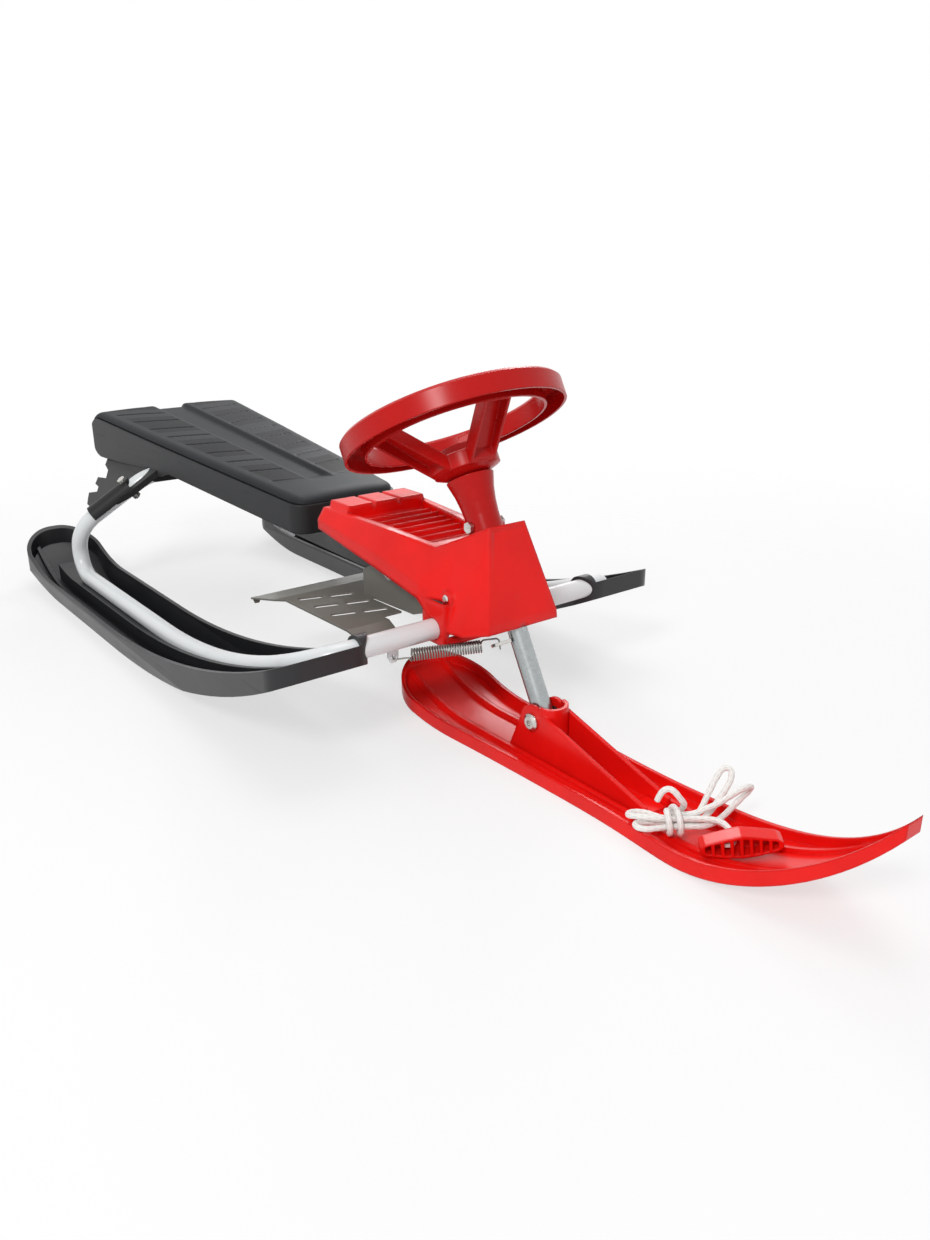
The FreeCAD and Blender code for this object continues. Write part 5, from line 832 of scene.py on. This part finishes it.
@dataclass
class Seat:
    """The seat: its shell, the two raised pads with the valley between them, and its toothed brackets."""

    rear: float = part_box("seat_base")[0][0]
    waist: float = -0.395
    front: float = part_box("seat_base")[1][0]
    rear_half: float = 0.110
    waist_half: float = 0.094
    front_half: float = 0.066
    rear_top: float = 0.223
    front_top: float = 0.183
    rear_low: float = 0.167
    nose: float = 0.029
    rear_round: float = 0.007
    front_round: float = 0.018
    inset: float = 0.002
    seam: float = 0.0002
    rim: float = 0.002
    edge_roll: float = 0.009
    end_roll: float = 0.022
    end_share: float = 0.12
    lane: float = 0.023
    lane_soft: float = 0.004
    valley: float = 0.0045
    valley_front: float = -0.135
    valley_fade: float = 0.03
    crown: float = 0.0095
    crown_fall: float = 0.22
    cell: float = 0.047
    slant: float = 0.28
    groove: float = 0.0024
    groove_half: float = 0.0024
    band_out: float = 0.012
    band_out_soft: float = 0.006
    band_in: float = 0.005
    band_in_soft: float = 0.003
    dot_margin: float = 0.004
    band_cycle: int = 3
    rows: int = 260
    end_crowd: float = 0.25
    columns: int = 150
    side_crowd: float = 0.4

    def top(self, x: Array) -> Array:
        """Height of the shell's top along the seat: a straight slope, and at the rear the circle through
        the slope's end, the rearmost point halfway down and the lower edge.

        Args:
            x: places along the seat.

        Returns:
            The heights.
        """
        slope = (self.rear_top - self.front_top) / (self.front - self.rear)
        bend = self.rear + self.nose
        crest = self.front_top + slope * (self.front - bend)
        half = (crest - self.rear_low) / 2.0
        radius = (self.nose ** 2 + half ** 2) / (2.0 * self.nose)
        back = np.clip(self.rear + radius - x, 0.0, radius)
        rolled = crest - half + np.sqrt(radius ** 2 - back ** 2)
        return np.where(x < bend, rolled, self.front_top + slope * (self.front - x))

    def half(self, x: Array) -> Array:
        """Half width of the pad in plan: straight tapers between three widths, less quarter circles at
        its ends.

        Args:
            x: places along the seat.

        Returns:
            The half widths.
        """
        places = (self.rear, self.waist, self.front)
        taper = np.interp(x, places, (self.rear_half, self.waist_half, self.front_half)) - self.inset
        return (taper - self.rear_round * (1.0 - quarter((x - self.rear) / self.rear_round))
                - self.front_round * (1.0 - quarter((self.front - x) / self.front_round)))

    def plan(self) -> tuple[Array, Array]:
        """Rows of points across the seat: even steps mixed with cosine ones, closer at its ends and sides.

        Returns:
            Places along the seat, n, and shares of the half width, m.
        """
        even = np.linspace(0.0, 1.0, self.rows)
        waved = (1.0 - np.cos(np.pi * even)) / 2.0
        share = (1.0 - self.end_crowd) * even + self.end_crowd * waved
        x = self.rear + self.inset + share * (self.front - self.rear - 2.0 * self.inset)
        waved = np.sin(np.linspace(-QUARTER_TURN, QUARTER_TURN, self.columns))
        return x, (1.0 - self.side_crowd) * np.linspace(-1.0, 1.0, self.columns) + self.side_crowd * waved

    def relief(self, x: Array, y: Array) -> tuple[Array, Array]:
        """Height over the shell = (rim + edge roll times the rise to the crown) times the end roll, less the
        slanted grooves. The crown sinks to the valley floor along the middle. The dots cover two of every
        three slanted bands, each of which has a groove along its own middle.

        Args:
            x: places along the seat, n.
            y: places across it, n by m.

        Returns:
            Heights and the dots mask, n by m each.
        """
        half = self.half(x)[:, None]
        away = np.abs(y)
        out = half - away
        lane = self.lane * half / self.rear_half
        roll = quarter(out / self.edge_roll)
        tip = quarter(np.minimum(x - x[0], x[-1] - x) / self.end_roll)[:, None]
        fade = smooth((self.valley_front - x) / self.valley_fade)[:, None]
        side = smooth((away - lane + self.lane_soft / 2.0) / self.lane_soft)
        sunk = 1.0 - (1.0 - side) * fade
        slope = 1.0 - self.crown_fall * ((away - lane) / (half - lane)).clip(0.0, 1.0) ** 2
        height = self.valley + (self.crown * slope - self.valley) * sunk
        phase = (x[:, None] + self.slant * away) / self.cell
        line = np.abs(phase - np.round(phase)) * self.cell
        outer = smooth((out - self.band_out) / self.band_out_soft)
        inside = outer * smooth((away - lane - self.band_in) / self.band_in_soft) * fade
        grooves = self.groove * (1.0 - smooth(line / self.groove_half)) * inside
        height = (self.rim + (height - self.rim) * roll) * (self.end_share + (1.0 - self.end_share) * tip)
        dotted = np.floor(phase - 0.5) % self.band_cycle > 0
        return height - grooves, inside * smooth(line / self.dot_margin) * dotted

    def pad(self) -> bpy.types.Object:
        """The pad's closed skin: the relief on top, and an underside that follows the shell.

        Returns:
            The pad.
        """
        x, across = self.plan()
        y = self.half(x)[:, None] * across[None, :]
        height, dots = self.relief(x, y)
        base = self.top(x)[:, None] + self.seam
        along = np.broadcast_to(x[:, None], y.shape)
        skin = np.stack([along, y, base + height], -1)
        under = np.stack([along, y, np.broadcast_to(base, y.shape)], -1)[:, ::-1]
        ring = np.concatenate([skin, under[:, 1:-1]], 1)
        rows, around = ring.shape[:2]
        points = np.concatenate([ring.reshape(-1, 3), ring[[0, -1]].mean(1)])
        faces = np.concatenate([quads(rows, around)[:, ::-1],
                                fans(np.arange(around), rows * around, False),
                                fans(np.arange(around) + (rows - 1) * around, rows * around + 1, True)])
        piece = put("seat_pad_skin", points, faces)
        mask = np.zeros((rows, around))
        mask[:, :self.columns] = dots
        values = np.concatenate([mask.ravel(), [0.0, 0.0]]).astype(np.float32)
        piece.data.attributes.new("dots", "FLOAT", "POINT").data.foreach_set("value", values)
        return piece

    def build(self) -> None:
        """Make the pad and dress the shell and brackets."""
        pad = self.pad()
        pad.data.materials.append(material_of(PAD_GREY))
        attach(pad, Body.FRAME.value)
        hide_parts("seat_pad")
        dress(SEAT_GREY, "seat_base")
        dress(BRACKET_BLACK, "seat_bracket_right", "seat_bracket_left")
        dress(BRIGHT, "bracket_bolts", "bracket_nuts")


@dataclass
class RearFrame:
    """Bent tube, spine beam and the two rear skis."""

    painted: Nodes = ("frame_tube",)
    dark: Nodes = ("spine_beam", "column_gusset", "column_housing", "console_strap")
    skis: Nodes = ("rear_ski_right", "rear_ski_left")
    fasteners: Nodes = ("ski_screws",)

    def build(self) -> None:
        """Dress the frame's nodes."""
        dress(WHITE_COAT, *self.painted)
        dress(BEAM_COAT, *self.dark)
        dress(SKI_BLACK, *self.skis)
        dress(BRIGHT, *self.fasteners)


@dataclass
class Column:
    """Console cover, steering tube, cone and wheel."""

    cover: Nodes = ("console_cover",)
    wheel: Nodes = ("steering_wheel", "wheel_cap", "column_cone")
    bushes: Nodes = ("lower_bush", "upper_bush")
    plated: Nodes = ("steering_tube", "thrust_collar", "tube_plug")
    fasteners: Nodes = ("console_screws", "cone_bolt", "cone_nut", "wheel_bolt")

    def build(self) -> None:
        """Dress the column's nodes."""
        dress(CONSOLE_RED, *self.cover)
        dress(DEEP_RED, *self.wheel)
        dress(BRACKET_BLACK, *self.bushes)
        dress(ZINC, *self.plated)
        dress(BRIGHT, *self.fasteners)


@dataclass
class FrontSki:
    """The steered ski with its pivot."""

    ski: Nodes = ("front_ski",)
    fasteners: Nodes = ("pivot_bolt", "pivot_nut")
    bushes: Nodes = ("pivot_bushes",)

    def build(self) -> None:
        """Dress the ski's nodes."""
        dress(RED, *self.ski)
        dress(BRIGHT, *self.fasteners)
        dress(BRACKET_BLACK, *self.bushes)


@dataclass
class FootBrake:
    """The tread plate with its hinge pin."""

    plate: Nodes = ("brake_plate",)
    fasteners: Nodes = ("brake_pin", "pin_clips")

    def build(self) -> None:
        """Dress the brake's nodes."""
        dress(GREY_COAT, *self.plate)
        dress(BRIGHT, *self.fasteners)


@dataclass(frozen=True)
class Lamp:
    """A square soft lamp."""

    name: str
    spot: Spot
    size: float
    power: float


@dataclass
class Studio:
    """Pale floor, white surroundings, soft lamps and the camera of the photograph."""

    eye: Spot = (0.8644, -0.5756, 0.4470)
    azimuth: float = math.radians(51.987)
    elevation: float = math.radians(20.377)
    lens: float = 29.197
    sensor: float = 36.0
    lamps: tuple[Lamp, ...] = (
        Lamp("key", (1.3, -1.9, 1.9), 0.55, 36.0),
        Lamp("top", (-0.3, 0.2, 2.3), 1.2, 14.0),
        Lamp("rim", (-1.6, 1.5, 1.5), 0.8, 16.0),
    )
    aim_height: float = 0.15
    world_light: float = 0.48
    floor_reach: float = 30.0
    floor_grey: Colour = (0.86, 0.86, 0.86)
    floor_share: float = 0.34
    floor_fade: Limits = (0.5, 1.5)
    white: Colour = (1.0, 1.0, 1.0)

    def seen(self, bench: Bench) -> Tap:
        """1 on rays that show the surroundings: those of the camera, of reflections and through glass."""
        rays = [bench.node("ShaderNodeLightPath", out=f"Is {kind} Ray")
                for kind in ("Camera", "Glossy", "Transmission")]
        return rays[0].math("MAXIMUM", rays[1]).math("MAXIMUM", rays[2])

    def floor(self) -> None:
        """A wide pale plane that keeps the shadow and lets the white world, and a lowered ski, show through.
        Away from the sled it fades into the world."""
        signs = np.array([[-1.0, -1.0, 0.0], [1.0, -1.0, 0.0], [1.0, 1.0, 0.0], [-1.0, 1.0, 0.0]])
        plane = put("floor", self.floor_reach * signs, np.arange(len(signs))[None, :])
        material = bpy.data.materials.new("pale_floor")
        material.use_nodes = True
        bench = Bench(material.node_tree)
        shaded = bench.node("ShaderNodeBsdfDiffuse", {}, {"Color": self.floor_grey})
        clear = bench.node("ShaderNodeBsdfTransparent", {}, {"Color": self.white})
        far = bench.node("ShaderNodeVectorMath", {"operation": "LENGTH"}, {0: bench.place()}, out="Value")
        share = 1.0 - self.floor_share + self.floor_share * far.step(*self.floor_fade)
        mixed = bench.node("ShaderNodeMixShader", {}, {0: self.seen(bench) * share, 1: shaded, 2: clear})
        bench.node("ShaderNodeOutputMaterial", {}, {"Surface": mixed})
        plane.data.materials.append(material)

    def world(self) -> None:
        """White to the camera and to reflections, softer as a light."""
        world = bpy.data.worlds.new("studio")
        world.use_nodes = True
        bpy.context.scene.world = world
        bench = Bench(world.node_tree)
        strength = self.world_light + self.seen(bench) * (1.0 - self.world_light)
        light = bench.node("ShaderNodeBackground", {}, {"Color": self.white, "Strength": strength})
        bench.node("ShaderNodeOutputWorld", {}, {"Surface": light})

    def lights(self) -> None:
        """Hang the lamps, each facing the middle of the sled."""
        for lamp in self.lamps:
            data = bpy.data.lights.new(lamp.name, "AREA")
            data.size = lamp.size
            data.energy = lamp.power
            holder = bpy.data.objects.new(lamp.name, data)
            x, y, z = lamp.spot
            tilt = math.atan2(math.hypot(x, y), z - self.aim_height)
            holder.location = lamp.spot
            holder.rotation_euler = (tilt, 0.0, math.atan2(y, x) + QUARTER_TURN)
            bpy.context.scene.collection.objects.link(holder)

    def camera(self) -> None:
        """The camera at the photograph's place."""
        data = bpy.data.cameras.new("camera")
        data.lens = self.lens
        data.sensor_width = self.sensor
        camera = bpy.data.objects.new("camera", data)
        camera.location = self.eye
        camera.rotation_euler = (QUARTER_TURN - self.elevation, 0.0, self.azimuth)
        bpy.context.scene.collection.objects.link(camera)
        bpy.context.scene.camera = camera

    def build(self) -> None:
        """Set the stage."""
        bpy.context.scene.view_settings.view_transform = "Standard"
        self.camera()
        self.floor()
        self.world()
        self.lights()


def main() -> None:
    """Build the sled's looks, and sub-assembly by sub-assembly."""
    logging.basicConfig(level=logging.INFO, format="%(name)s: %(message)s")
    for part in (Studio(), TowRope(), ReturnSpring(), Seat(), RearFrame(), Column(), FrontSki(), FootBrake()):
        part.build()
        log.info("built %s", type(part).__name__)


if __name__ == "__main__":
    main()
